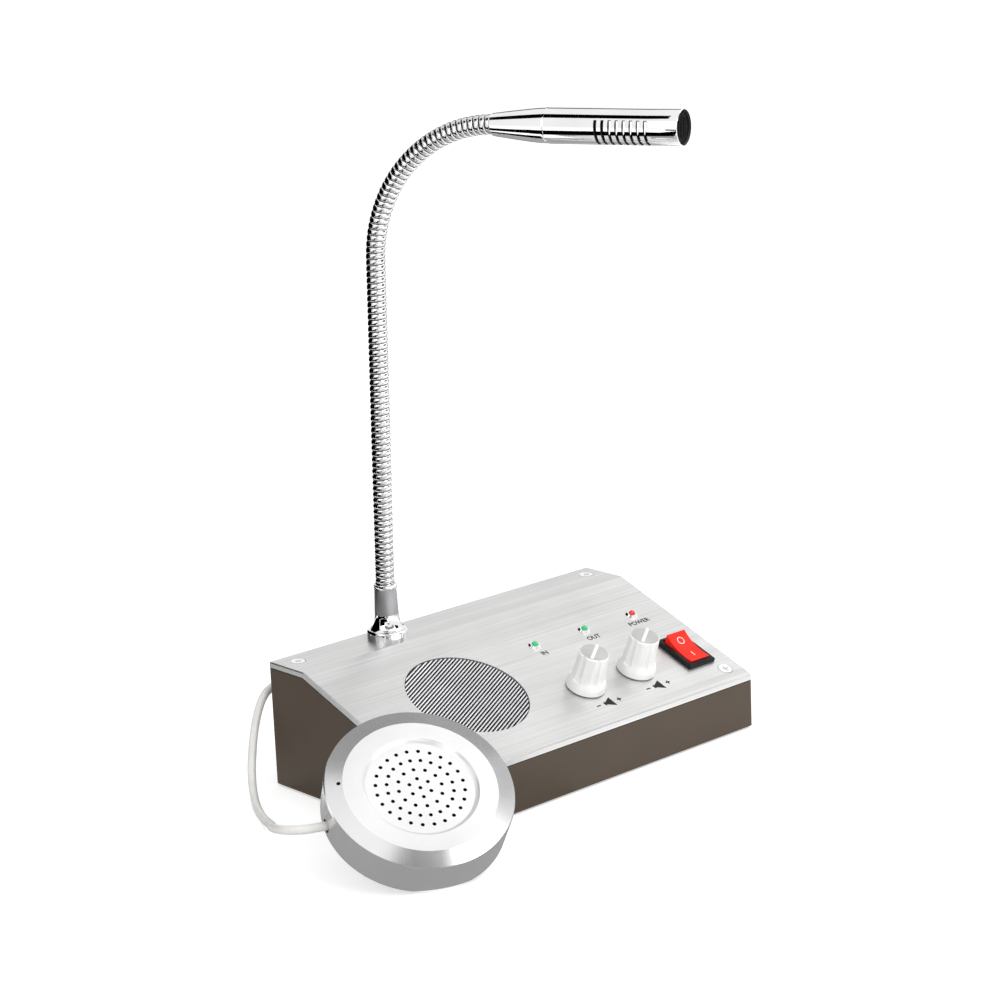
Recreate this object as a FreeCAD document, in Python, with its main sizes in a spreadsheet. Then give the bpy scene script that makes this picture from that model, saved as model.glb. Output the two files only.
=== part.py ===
import FreeCAD, Part
import math
import os

import Sketcher

# Teller window intercom: a wedge-shaped desk console with a gooseneck microphone, and the round
# outer unit for the customer's side, which leans on the console's front left corner.
# Millimetres. X runs along the console's width, Y to its back wall and Z up. The origin is the middle
# of the case's underside, so the counter lies one foot height below it.

doc = FreeCAD.newDocument("TellerWindowIntercom")
sizes = doc.addObject("Spreadsheet::Sheet", "sizes")

drivingSizes = {
    # case: a wedge with a flat strip along its back
    "caseWidth": 178,
    "caseDepth": 98.4,
    "caseBackHeight": 48.9,
    "caseFrontHeight": 19.9,
    "stripDepth": 21.8,
    "caseWall": 2.4,
    "caseFloor": 2.4,
    "caseCorner": 1.2,
    "lipInset": 1.2,
    "shadowGap": 0.4,
    "footRadius": 5.5,
    "footProud": 1.0,
    "footRecess": 0.8,
    "footInset": 13,
    # top plate and the four screws that hold it
    "plateThick": 2.2,
    "plateEdge": 0.45,
    "screwSide": 8.3,
    "screwRear": 8.6,
    "screwFront": 8.0,
    "screwHeadRadius": 3.0,
    "screwHeadDepth": 1.5,
    "screwRadius": 1.4,
    "screwLength": 9,
    "screwClear": 0.25,
    "bossRadius": 3.8,
    "bossRib": 1.6,
    # console loudspeaker behind its barred disc
    "grilleX": -36,
    "grilleDown": 40,
    "grilleRadius": 25.5,
    "grilleRim": 1.5,
    "grilleFlange": 3.5,
    "grilleFlangeThick": 1.0,
    "grilleSunk": 0.4,
    "barAngle": 26,
    "barPitch": 1.35,
    "barWidth": 0.6,
    "barThick": 1.2,
    "gasketThick": 1.2,
    "basketDepth": 13,
    "basketThick": 1.0,
    "coneDepth": 7.5,
    "magnetRadius": 14,
    "magnetDepth": 7,
    # amplifier board on its four posts
    "boardX": 25,
    "boardY": -2,
    "boardLength": 66,
    "boardWidth": 70,
    "boardThick": 1.6,
    "boardHole": 4,
    "postRadius": 3,
    "postHeight": 4.5,
    "capacitorRadius": 4,
    "capacitorHeight": 8,
    "heatSinkLength": 18,
    "heatSinkWidth": 8,
    "heatSinkHeight": 9,
    "finPitch": 4.1,
    "finGap": 2.2,
    "chipLength": 10,
    "chipWidth": 6.5,
    "chipHeight": 2.2,
    "headerLength": 16,
    "headerWidth": 5,
    "headerHeight": 6,
    # status lights
    "lightDown": 25.3,
    "lightInX": 14,
    "lightOutX": 42.6,
    "lightPowerShift": 1.5,
    "lightRadius": 1.5,
    "lightProud": 2.1,
    "rimRadius": 2.8,
    "rimProud": 0.9,
    "rimBarrel": 2.3,
    # volume controls
    "knobFront": 24.2,
    "knobInX": 13.7,
    "knobOutX": 42.8,
    "knobHeight": 17,
    "knobLift": 0.5,
    "knobSkirtRadius": 8.25,
    "knobSkirtHeight": 2.6,
    "knobWaistRadius": 6.9,
    "knobWaistHeight": 6.2,
    "knobTopRadius": 6.3,
    "knobHollowRadius": 6.1,
    "fluteRadius": 2.2,
    "fluteOffset": 8.05,
    "fluteCount": 6,
    "fluteFloor": 0.6,
    "pointerAngle": 215,
    "pointerWidth": 1.3,
    "pointerProud": 0.5,
    "potRadius": 8.5,
    "potDepth": 8,
    "bushRadius": 3.5,
    "bushProud": 3.4,
    "shaftRadius": 3,
    "shaftReach": 13.5,
    "shaftClear": 0.05,
    "potNutAcross": 10,
    "potNutThick": 2,
    # power switch
    "switchInset": 16.5,
    "switchFront": 24.5,
    "switchBezelWidth": 15,
    "switchBezelLength": 21,
    "switchBezelHeight": 2,
    "switchCutWidth": 13,
    "switchCutLength": 19.2,
    "switchDepth": 13,
    "rockerWidth": 10.6,
    "rockerLength": 16.6,
    "rockerCrown": 3.7,
    "rockerDip": 1.5,
    "rockerThrow": 20,
    "rockerGap": 0.35,
    "rockerPivot": 0.5,
    "rockerPin": 1.2,
    "terminalLength": 7,
    "terminalWidth": 4.8,
    "terminalThick": 0.8,
    # sockets in the back wall
    "powerJackInset": 37,
    "powerJackHeight": 24,
    "powerJackNose": 5.2,
    "powerJackBore": 3.1,
    "powerJackPin": 1.05,
    "powerJackDepth": 14,
    "soundJackInset": 27,
    "soundJackHeight": 39.2,
    "soundJackNose": 3.4,
    "soundJackBore": 1.8,
    "soundJackDepth": 13,
    # gooseneck: foot, flexible tube and its bend
    "neckX": -35.5,
    "neckRear": 10.9,
    "flangeRadius": 8.5,
    "flangeHeight": 3.6,
    "bellRadius": 7.6,
    "bellHeight": 7,
    "sleeveRadius": 4.95,
    "sleeveTopRadius": 4.55,
    "sleeveHeight": 10.2,
    "ferruleRadius": 4.8,
    "ferruleHeight": 2,
    "stemRadius": 4.9,
    "stemLength": 9,
    "neckNutAcross": 14,
    "neckNutThick": 3.2,
    "neckRadius": 4.0,
    "neckAzimuth": -70,
    "neckLean": 1.6,
    "neckStraight": 134,
    "neckBendRadius": 55.5,
    "firstJoint": 6,
    "socketGap": 0.3,
    "socketLip": 2.2,
    # microphone
    "taperLength": 23.9,
    "taperRadius": 4.5,
    "taperBore": 5,
    "micRadius": 6.95,
    "micLength": 55,
    "micWall": 1.0,
    "micSlotStart": 21.2,
    "micSlotPitch": 2.9,
    "micSlotWidth": 1.1,
    "micSlotCount": 8,
    "micSlotSpan": 232,
    "micCapSunk": 0.9,
    "micCapThick": 1.4,
    "micCapSlot": 0.7,
    "capsuleRadius": 4.9,
    "capsuleLength": 6,
    "foamLength": 3,
    # outer unit
    "outerTilt": 34.4,
    "outerTurn": -21.1,
    "outerAlong": 12.9,
    "outerRadius": 35.6,
    "outerRimRadius": 34.9,
    "outerWallDepth": 16.5,
    "outerShell": 2,
    "outerLid": 1.6,
    "outerFaceRadius": 29,
    "outerBevelDrop": 1.7,
    "dishRadius": 22.0,
    "dishFloorRadius": 20.4,
    "dishDepth": 1.3,
    "outerHoleRadius": 0.75,
    "outerHolePitch": 4.16,
    "firstRingHoles": 6,
    "secondRingHoles": 12,
    "thirdRingHoles": 20,
    "fourthRingHoles": 24,
    "outerBaseRadius": 24,
    "outerBaseStep": 4.5,
    "outerPadRadius": 14,
    "outerPadThick": 1.2,
    "outerSeat": 0.05,
    "outerMicAngle": 166,
    "outerMicOut": 30.4,
    "outerMicHole": 0.75,
    "outerMicRadius": 3,
    "outerMicDepth": 4,
    "outerConeRadius": 20,
    "outerMagnetRadius": 9,
    "outerPostOut": 28.2,
    "outerPostRadius": 2.6,
    "outerPostTurn": 105,
    "outerScrewHead": 2.0,
    "outerScrewHeadDepth": 0.9,
    "outerScrewRadius": 1.0,
    "outerScrewLength": 7,
    "cordHoleDepth": 12.0,
    "cordHoleTurn": 182,
    "grommetRadius": 2.7,
    # cord and its right-angled plug
    "cordRadius": 1.7,
    "cordLeave": 6.0,
    "cordArrive": 6.5,
    "plugHandleRadius": 3.6,
    "plugHandleLength": 13,
    "plugStandoff": 2.2,
    "plugPinRadius": 1.75,
    "plugPinLength": 12,
    "reliefLength": 5,
    "reliefRadius": 2.5,
}

derivedSizes = {
    "backY": "=caseDepth / 2",
    "bendUnderY": "=caseDepth / 2 - stripDepth",
    "slope": "=atan((caseBackHeight - caseFrontHeight) / (caseDepth - stripDepth))",
    "plateUnder": "=caseBackHeight + shadowGap",
    "plateTop": "=caseBackHeight + shadowGap + plateThick",
    "bendTopY": "=bendUnderY - plateThick * tan(slope / 2)",
    "slopeLength": "=(bendTopY + caseDepth / 2) / cos(slope)",
    "screwX": "=caseWidth / 2 - screwSide",
    "screwRearY": "=caseDepth / 2 - screwRear",
    "screwDown": "=slopeLength - screwFront",
    "knobDown": "=slopeLength - knobFront",
    "switchX": "=caseWidth / 2 - switchInset",
    "switchDown": "=slopeLength - switchFront",
    "lightPowerX": "=switchX - lightPowerShift",
    "powerJackX": "=caseWidth / 2 - powerJackInset",
    "soundJackX": "=-caseWidth / 2 + soundJackInset",
    "counter": "=-footProud",
    "boardTop": "=caseFloor + postHeight + boardThick",
    "holeX": "=boardLength / 2 - boardHole",
    "holeY": "=boardWidth / 2 - boardHole",
    "speakerTop": "=-plateThick - grilleFlangeThick - gasketThick",
    "speakerRadius": "=grilleRadius + grilleFlange",
    "magnetTop": "=speakerTop - basketDepth",
    "knobGrip": "=knobHeight - knobLift",
    "neckY": "=caseDepth / 2 - neckRear",
    "bellFoot": "=plateTop + flangeHeight",
    "neckFoot": "=plateTop + flangeHeight + bellHeight + sleeveHeight + ferruleHeight",
    "stemBottom": "=plateTop - stemLength",
    "linkRise": "=(neckStraight - firstJoint) / 6",
    "linkTurn": "=(90 - neckLean) / 4",
    "bendReach": "=neckStraight * sin(neckLean)",
    "bendHeight": "=neckFoot + neckStraight * cos(neckLean)",
    "neckEndReach": "=bendReach + neckBendRadius * cos(neckLean)",
    "neckEndHeight": "=bendHeight + neckBendRadius * (1 - sin(neckLean))",
    "outerBack": "=outerWallDepth + outerBaseStep",
    "cornerTop": "=caseFrontHeight + shadowGap + plateThick / cos(slope)",
    "outerDown": "=(cornerTop - counter + (outerBack + outerSeat - outerWallDepth) * cos(outerTilt))"
                 " / sin(outerTilt) - outerRimRadius",
    "outerX": "=-caseWidth / 2 - outerAlong * cos(outerTurn) + outerDown * cos(outerTilt) * sin(outerTurn)"
              " + (outerBack + outerSeat) * sin(outerTilt) * sin(outerTurn)",
    "outerY": "=-caseDepth / 2 - outerAlong * sin(outerTurn) - outerDown * cos(outerTilt) * cos(outerTurn)"
              " - (outerBack + outerSeat) * sin(outerTilt) * cos(outerTurn)",
    "outerZ": "=counter + outerWallDepth * cos(outerTilt) + outerRimRadius * sin(outerTilt)",
    "plugY": "=caseDepth / 2 + plugStandoff + plugHandleRadius",
    "plugEndX": "=soundJackX + plugHandleRadius - plugHandleLength",
}

for row, (alias, number) in enumerate({**drivingSizes, **derivedSizes}.items(), start=1):
    sizes.set(f"A{row}", alias)
    sizes.set(f"B{row}", str(number))
    sizes.setAlias(f"B{row}", alias)
doc.recompute()


def value(expression):
    """The present value of an expression over the sheet's sizes."""
    return float(sizes.evalExpression(expression))


def sized(name):
    """The present value of one size, for shapes that Python itself builds."""
    return value("sizes." + name)


def linked(expression):
    """Write sizes.NAME for each bare size name in an expression."""
    words = sorted({**drivingSizes, **derivedSizes}, key=len, reverse=True)
    out, i = "", 0
    while i < len(expression):
        if expression[i].isalpha():
            j = i
            while j < len(expression) and (expression[j].isalnum() or expression[j] in "_."):
                j += 1
            word = expression[i:j]
            out += "sizes." + word if word in words else word
            i = j
        else:
            out += expression[i]
            i += 1
    return out


def bind(obj, **expressions):
    """Bind properties of an object to expressions over the sheet."""
    for name, expression in expressions.items():
        obj.setExpression(name.replace("_", "."), linked(str(expression)))
    return obj


# ---------------------------------------------------------------- places on the object

def standing(x="0", y="0", z="0"):
    return f"placement(vector({x}; {y}; {z}); rotation(vector(0; 0; 1); 0))"


def on_slope(x="0", down="0", lift="0"):
    """On the sloping plate: down from the bend along the slope, lift along its normal."""
    y = f"bendTopY - ({down}) * cos(slope) - ({lift}) * sin(slope)"
    z = f"plateTop - ({down}) * sin(slope) + ({lift}) * cos(slope)"
    return f"placement(vector({x}; {y}; {z}); rotation(vector(1; 0; 0); slope))"


def along_neck(reach, height, heading):
    """On the gooseneck's line, with local Z along it: heading 0 points up and 90 lies flat."""
    x = f"neckX + ({reach}) * cos(neckAzimuth)"
    y = f"neckY + ({reach}) * sin(neckAzimuth)"
    turn = f"rotation(vector(-sin(neckAzimuth); cos(neckAzimuth); 0); {heading})"
    return f"placement(vector({x}; {y}; {height}); {turn})"


def on_microphone():
    """At the tube's end: local Z runs forward along the microphone and local X points down."""
    turn = "rotation(vector(0; 0; 1); neckAzimuth) * rotation(vector(0; 1; 0); 90)"
    return (f"placement(vector(neckX + neckEndReach * cos(neckAzimuth);"
            f" neckY + neckEndReach * sin(neckAzimuth); neckEndHeight); {turn})")


def on_outer_unit():
    """The outer unit's frame: its dish floor lies on local XY and local Z is its axis."""
    turn = "rotation(vector(0; 0; 1); outerTurn) * rotation(vector(1; 0; 0); outerTilt)"
    return f"placement(vector(outerX; outerY; outerZ); {turn})"


# ---------------------------------------------------------------- bodies, sketches and features

subParts = []


def keep(obj, label):
    """Name an object as a sub-part, to be written as a file of its own."""
    obj.Label = label
    subParts.append(obj)
    return obj


def new_body(label, place=None):
    body = doc.addObject("PartDesign::Body", label)
    if place:
        bind(body, Placement=place)
    return keep(body, label)


def sketch_on(body, name, role, place=None, **offsets):
    """A sketch on an origin plane of its body, shifted by named expressions."""
    sketch = body.newObject("Sketcher::SketchObject", name)
    plane = next(f for f in body.Origin.OriginFeatures if f.Role == role)
    sketch.AttachmentSupport = [(plane, "")]
    sketch.MapMode = "FlatFace"
    if place:
        bind(sketch, AttachmentOffset=place)
    for axis, expression in offsets.items():
        sketch.setExpression(f"AttachmentOffset.Base.{axis}", linked(str(expression)))
    return sketch


def pin_point(sketch, geometry, vertex, x, y):
    """Hold a vertex at two expressions, measured from the sketch's origin."""
    for kind, expression in (("DistanceX", x), ("DistanceY", y)):
        expression = linked(str(expression))
        constraint = Sketcher.Constraint(kind, -1, 1, geometry, vertex, value(expression))
        sketch.setExpression(f"Constraints[{sketch.addConstraint(constraint)}]", expression)


def polygon(sketch, corners):
    """A closed outline through corners, each a pair of expressions."""
    spots = [FreeCAD.Vector(value(linked(str(x))), value(linked(str(y))), 0) for x, y in corners]
    first = sketch.GeometryCount
    for here, there in zip(spots, spots[1:] + spots[:1]):
        sketch.addGeometry(Part.LineSegment(here, there))
    count = len(spots)
    for i in range(count):
        sketch.addConstraint(Sketcher.Constraint("Coincident", first + i, 2, first + (i + 1) % count, 1))
    for i, (x, y) in enumerate(corners):
        pin_point(sketch, first + i, 1, x, y)
    return sketch


def rectangle(sketch, width, length, x="0", y="0"):
    w, d = f"({width}) / 2", f"({length}) / 2"
    return polygon(sketch, [(f"{x} - {w}", f"{y} - {d}"), (f"{x} + {w}", f"{y} - {d}"),
                            (f"{x} + {w}", f"{y} + {d}"), (f"{x} - {w}", f"{y} + {d}")])


def circle(sketch, radius, x="0", y="0"):
    centre = FreeCAD.Vector(value(linked(str(x))), value(linked(str(y))), 0)
    expression = linked(str(radius))
    ring = sketch.addGeometry(Part.Circle(centre, FreeCAD.Vector(0, 0, 1), value(expression)))
    constraint = Sketcher.Constraint("Radius", ring, value(expression))
    sketch.setExpression(f"Constraints[{sketch.addConstraint(constraint)}]", expression)
    pin_point(sketch, ring, 3, x, y)
    return sketch


def hexagon(sketch, across):
    """A nut's outline, by its width across the flats."""
    corner = f"({across}) / sqrt(3)"
    return polygon(sketch, [(f"{corner} * cos({60 * i})", f"{corner} * sin({60 * i})") for i in range(6)])


def feature(body, kind, name, sketch, **settings):
    made = body.newObject("PartDesign::" + kind, name)
    made.Profile = sketch
    for setting, what in settings.items():
        if isinstance(what, str):
            made.setExpression(setting, linked(what))
        else:
            setattr(made, setting, what)
    sketch.Visibility = False
    body.Tip = made
    return made


def pad(body, name, sketch, length, **settings):
    return feature(body, "Pad", name, sketch, Length=str(length), **settings)


def pocket(body, name, sketch, length, **settings):
    return feature(body, "Pocket", name, sketch, Length=str(length), **settings)


def turned(body, name, corners, cut=False):
    """Turn an outline of (radius, height) corners about local Z."""
    sketch = polygon(sketch_on(body, name + "Outline", "XZ_Plane"), corners)
    made = body.newObject("PartDesign::" + ("Groove" if cut else "Revolution"), name)
    made.Profile = sketch
    made.ReferenceAxis = (sketch, ["V_Axis"])
    made.Angle = 360
    body.Tip = made
    return made


def around(body, name, what, count):
    """Repeat a feature round local Z."""
    axis = next(f for f in body.Origin.OriginFeatures if f.Role == "Z_Axis")
    pattern = body.newObject("PartDesign::PolarPattern", name)
    pattern.Originals = [what]
    pattern.Axis = (axis, [""])
    pattern.Angle = 360
    bind(pattern, Occurrences=count)
    body.Tip = pattern
    return pattern


def soften(body, kind, name, size, wanted):
    """Fillet or chamfer the edges of the tip that a test picks by their ends and middle."""
    doc.recompute()
    base = body.Tip
    edges = [f"Edge{i}" for i, edge in enumerate(base.Shape.Edges, start=1)
             if wanted(edge.valueAt((edge.FirstParameter + edge.LastParameter) / 2), edge)]
    made = body.newObject("PartDesign::" + kind, name)
    made.Base = (base, edges)
    bind(made, **{"Radius" if kind == "Fillet" else "Size": size})
    body.Tip = made
    return made


def near(a, b, within=0.02):
    return abs(a - b) < within


def upright(edge):
    """Whether an edge runs straight along Z."""
    low, high = edge.valueAt(edge.FirstParameter), edge.valueAt(edge.LastParameter)
    return near(low.x, high.x) and near(low.y, high.y) and abs(low.z - high.z) > 0.5


# ---------------------------------------------------------------- console case

def make_case():
    body = new_body("case_shell")
    rise = "tan(slope)"
    outline = polygon(sketch_on(body, "caseOutline", "YZ_Plane"), [
        ("-caseDepth / 2", "0"), ("-caseDepth / 2", "caseFrontHeight"),
        ("bendUnderY", "caseBackHeight"), ("backY", "caseBackHeight"), ("backY", "0")])
    pad(body, "caseBlock", outline, "caseWidth", Midplane=True)
    soften(body, "Fillet", "caseCorners", "caseCorner",
           lambda p, e: upright(e) and near(abs(p.x), sized("caseWidth") / 2))
    lip = polygon(sketch_on(body, "lipOutline", "YZ_Plane"), [
        ("-caseDepth / 2 + lipInset", "caseFloor"),
        ("-caseDepth / 2 + lipInset", f"caseFrontHeight + shadowGap + lipInset * {rise}"),
        ("bendUnderY", "plateUnder"), ("backY - lipInset", "plateUnder"), ("backY - lipInset", "caseFloor")])
    pad(body, "plateLip", lip, "caseWidth - 2 * lipInset", Midplane=True)
    room = polygon(sketch_on(body, "roomOutline", "YZ_Plane"), [
        ("-caseDepth / 2 + caseWall", "caseFloor"), ("-caseDepth / 2 + caseWall", "plateTop + 1"),
        ("backY - caseWall", "plateTop + 1"), ("backY - caseWall", "caseFloor")])
    pocket(body, "room", room, "caseWidth - 2 * caseWall", Midplane=True)

    bosses = sketch_on(body, "bossOutline", "XY_Plane")
    frontY = "bendTopY - screwDown * cos(slope) + screwLength / 2 * sin(slope)"
    for side in ("-", ""):
        circle(bosses, "bossRadius", f"{side}screwX", "screwRearY")
        circle(bosses, "bossRadius", f"{side}screwX", frontY)
    pad(body, "screwBosses", bosses, "plateTop")
    ribs = sketch_on(body, "ribOutline", "XY_Plane")
    for side, wallX in (("-", "-caseWidth / 2 + 1"), ("", "caseWidth / 2 - 1")):
        for y in ("screwRearY", frontY):
            polygon(ribs, [(f"{side}screwX", f"{y} - bossRib / 2"), (wallX, f"{y} - bossRib / 2"),
                           (wallX, f"{y} + bossRib / 2"), (f"{side}screwX", f"{y} + bossRib / 2")])
    pad(body, "bossRibs", ribs, "plateTop")
    above = polygon(sketch_on(body, "aboveOutline", "YZ_Plane"), [
        ("-caseDepth / 2 - 1", f"caseFrontHeight + shadowGap - {rise}"), ("bendUnderY", "plateUnder"),
        ("backY + 1", "plateUnder"), ("backY + 1", "plateTop + 5"), ("-caseDepth / 2 - 1", "plateTop + 5")])
    pocket(body, "abovePlate", above, "caseWidth + 2", Midplane=True)
    posts = sketch_on(body, "postOutline", "XY_Plane")
    for x, y in board_holes():
        circle(posts, "postRadius", x, y)
    pad(body, "boardPosts", posts, "caseFloor + postHeight")

    pilots = sketch_on(body, "pilotOutline", "XY_Plane", z="plateUnder")
    for side in ("-", ""):
        circle(pilots, "screwRadius", f"{side}screwX", "screwRearY")
    pocket(body, "rearPilots", pilots, "screwLength + 1")
    slanted = sketch_on(body, "slantOutline", "XY_Plane", place=on_slope())
    for side in ("-", ""):
        circle(slanted, "screwRadius", f"{side}screwX", "-screwDown")
    pocket(body, "frontPilots", slanted, "plateThick + screwLength + 1")
    boardPilots = sketch_on(body, "boardPilotOutline", "XY_Plane", z="caseFloor + postHeight")
    for x, y in board_holes():
        circle(boardPilots, "screwRadius - 0.4", x, y)
    pocket(body, "boardPilots", boardPilots, "postHeight")

    sockets = sketch_on(body, "socketOutline", "XZ_Plane", z="-backY")
    circle(sockets, "powerJackNose + screwClear / 2", "powerJackX", "powerJackHeight")
    circle(sockets, "soundJackNose + screwClear / 2", "soundJackX", "soundJackHeight")
    pocket(body, "socketHoles", sockets, "3 * caseWall", Midplane=True)
    feet = sketch_on(body, "footOutline", "XY_Plane")
    for x, y in foot_places():
        circle(feet, "footRadius + screwClear / 2", x, y)
    pocket(body, "footRecesses", feet, "2 * footRecess", Midplane=True)


def board_holes():
    return [(f"boardX {sx} holeX", f"boardY {sy} holeY") for sx in "+-" for sy in "+-"]


def foot_places():
    return [(f"{sx}(caseWidth / 2 - footInset)", f"{sy}(caseDepth / 2 - footInset)")
            for sx in ("-", "") for sy in ("-", "")]


def make_feet():
    body = new_body("rubber_feet", standing(z="-footProud"))
    body.AllowCompound = True
    outline = sketch_on(body, "footOutline", "XY_Plane")
    for x, y in foot_places():
        circle(outline, "footRadius", x, y)
    pad(body, "feet", outline, "footProud + footRecess")


# ---------------------------------------------------------------- top plate and its screws

def screw_places():
    """Each plate screw's place, with local Z out of the plate at its top face."""
    for side in ("-", ""):
        yield standing(f"{side}screwX", "screwRearY", "plateTop")
        yield on_slope(f"{side}screwX", "screwDown")


def make_top_panel():
    body = new_body("top_panel")
    outline = polygon(sketch_on(body, "plateOutline", "YZ_Plane"), [
        ("-caseDepth / 2", "caseFrontHeight + shadowGap"), ("bendUnderY", "plateUnder"),
        ("backY", "plateUnder"), ("backY", "plateTop"), ("bendTopY", "plateTop"),
        ("-caseDepth / 2", "cornerTop")])
    pad(body, "bentPlate", outline, "caseWidth", Midplane=True)
    soften(body, "Fillet", "plateCorners", "caseCorner",
           lambda p, e: upright(e) and near(abs(p.x), sized("caseWidth") / 2))
    half, back = sized("caseWidth") / 2, sized("caseDepth") / 2
    topEnd, frontTop = sized("plateTop"), sized("cornerTop")

    def on_top_rim(p, edge):
        slopeTop = frontTop + (p.y + back) * math.tan(math.radians(sized("slope")))
        onTop = near(p.z, min(topEnd, slopeTop))
        return onTop and (abs(p.x) > half - sized("caseCorner") or near(abs(p.y), back))

    soften(body, "Chamfer", "plateEdges", "plateEdge", on_top_rim)

    rearHoles = sketch_on(body, "rearHoles", "XY_Plane", z="plateTop")
    for side in ("-", ""):
        circle(rearHoles, "screwRadius + screwClear", f"{side}screwX", "screwRearY")
    circle(rearHoles, "stemRadius + screwClear", "neckX", "neckY")
    pocket(body, "stripHoles", rearHoles, "plateThick + 1")
    holes = sketch_on(body, "slopeHoles", "XY_Plane", place=on_slope(lift="1"))
    for side in ("-", ""):
        circle(holes, "screwRadius + screwClear", f"{side}screwX", "-screwDown")
    circle(holes, "grilleRadius", "grilleX", "-grilleDown")
    for x in ("lightInX", "lightOutX", "lightPowerX"):
        circle(holes, "rimBarrel", x, "-lightDown")
    for x in ("knobInX", "knobOutX"):
        circle(holes, "bushRadius + screwClear", x, "-knobDown")
    rectangle(holes, "switchCutWidth", "switchCutLength", "switchX", "-switchDown")
    pocket(body, "slopeCuts", holes, "plateThick + 2")
    for i, place in enumerate(screw_places()):
        sink = body.newObject("PartDesign::SubtractiveCone", f"countersink{i}")
        bind(sink, Radius1="screwRadius + screwClear", Radius2="screwHeadRadius + screwClear",
             Height="screwHeadDepth + screwClear",
             Placement=f"{place} * placement(vector(0; 0; -screwHeadDepth - screwClear);"
                       " rotation(vector(0; 0; 1); 0))")
        body.Tip = sink


def make_panel_screws():
    """Four countersunk screws with a cross recess, each turned as one profile."""
    screws = []
    for i, place in enumerate(screw_places()):
        head = doc.addObject("Part::Cone", f"screwHead{i}")
        bind(head, Radius1="screwRadius", Radius2="screwHeadRadius", Height="screwHeadDepth",
             Placement=f"{place} * {standing(z='-screwHeadDepth')}")
        shank = doc.addObject("Part::Cylinder", f"screwShank{i}")
        bind(shank, Radius="screwRadius", Height="screwLength",
             Placement=f"{place} * {standing(z='-screwLength')}")
        slots = []
        for turn in (0, 90):
            slot = doc.addObject("Part::Box", f"screwSlot{i}_{turn}")
            bind(slot, Length="screwHeadRadius * 1.1", Width="screwRadius * 0.4", Height="screwHeadDepth",
                 Placement=f"{place} * placement(vector(0; 0; -screwHeadDepth * 0.6);"
                           f" rotation(vector(0; 0; 1); {turn})) *"
                           f" {standing('-screwHeadRadius * 0.55', '-screwRadius * 0.2')}")
            slots.append(slot)
        whole = doc.addObject("Part::MultiFuse", f"screwBody{i}")
        whole.Shapes = [head, shank]
        cross = doc.addObject("Part::MultiFuse", f"screwCross{i}")
        cross.Shapes = slots
        cut = doc.addObject("Part::Cut", f"screwCut{i}")
        cut.Base, cut.Tool = whole, cross
        screws.append(cut)
    group = doc.addObject("Part::Compound", "panelScrews")
    group.Links = screws
    keep(group, "panel_screws")


# ---------------------------------------------------------------- console loudspeaker

def make_grille():
    """A disc of fine slanted bars in a rim, hung from the plate by a flange behind it."""
    body = new_body("speaker_grille", on_slope("grilleX", "grilleDown"))
    rim = sketch_on(body, "rimOutline", "XY_Plane", z="-plateThick")
    circle(rim, "grilleRadius - 0.1")
    circle(rim, "grilleRadius - grilleRim")
    pad(body, "rim", rim, "plateThick - grilleSunk / 2")
    doc.recompute()
    bars = 2 * math.floor((sized("grilleRadius") - sized("grilleRim")) / sized("barPitch")) + 1
    turn = "placement(vector(0; 0; -grilleSunk - barThick); rotation(vector(0; 0; 1); barAngle))"
    first = sketch_on(body, "barOutline", "XY_Plane", place=turn)
    rectangle(first, "2 * grilleRadius - grilleRim", "barWidth", "0", "0")
    bar = pad(body, "bar", first, "barThick")
    span = f"barPitch * {(bars - 1) // 2}"
    rows = []
    for name, flip in (("barsUp", False), ("barsDown", True)):
        pattern = body.newObject("PartDesign::LinearPattern", name)
        pattern.Originals = [bar]
        pattern.Direction = (first, ["V_Axis"])
        pattern.Reversed = flip
        bind(pattern, Length=span)
        pattern.Occurrences = (bars - 1) // 2 + 1
        body.Tip = pattern
        rows.append(pattern)
    trim = sketch_on(body, "trimOutline", "XY_Plane", z="1")
    circle(trim, "grilleRadius - 0.1")
    circle(trim, "2 * grilleRadius")
    pocket(body, "trimBars", trim, "plateThick + 4")
    flange = sketch_on(body, "flangeOutline", "XY_Plane", z="-plateThick - grilleFlangeThick")
    circle(flange, "speakerRadius")
    circle(flange, "grilleRadius - grilleRim")
    pad(body, "flange", flange, "grilleFlangeThick")


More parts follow.
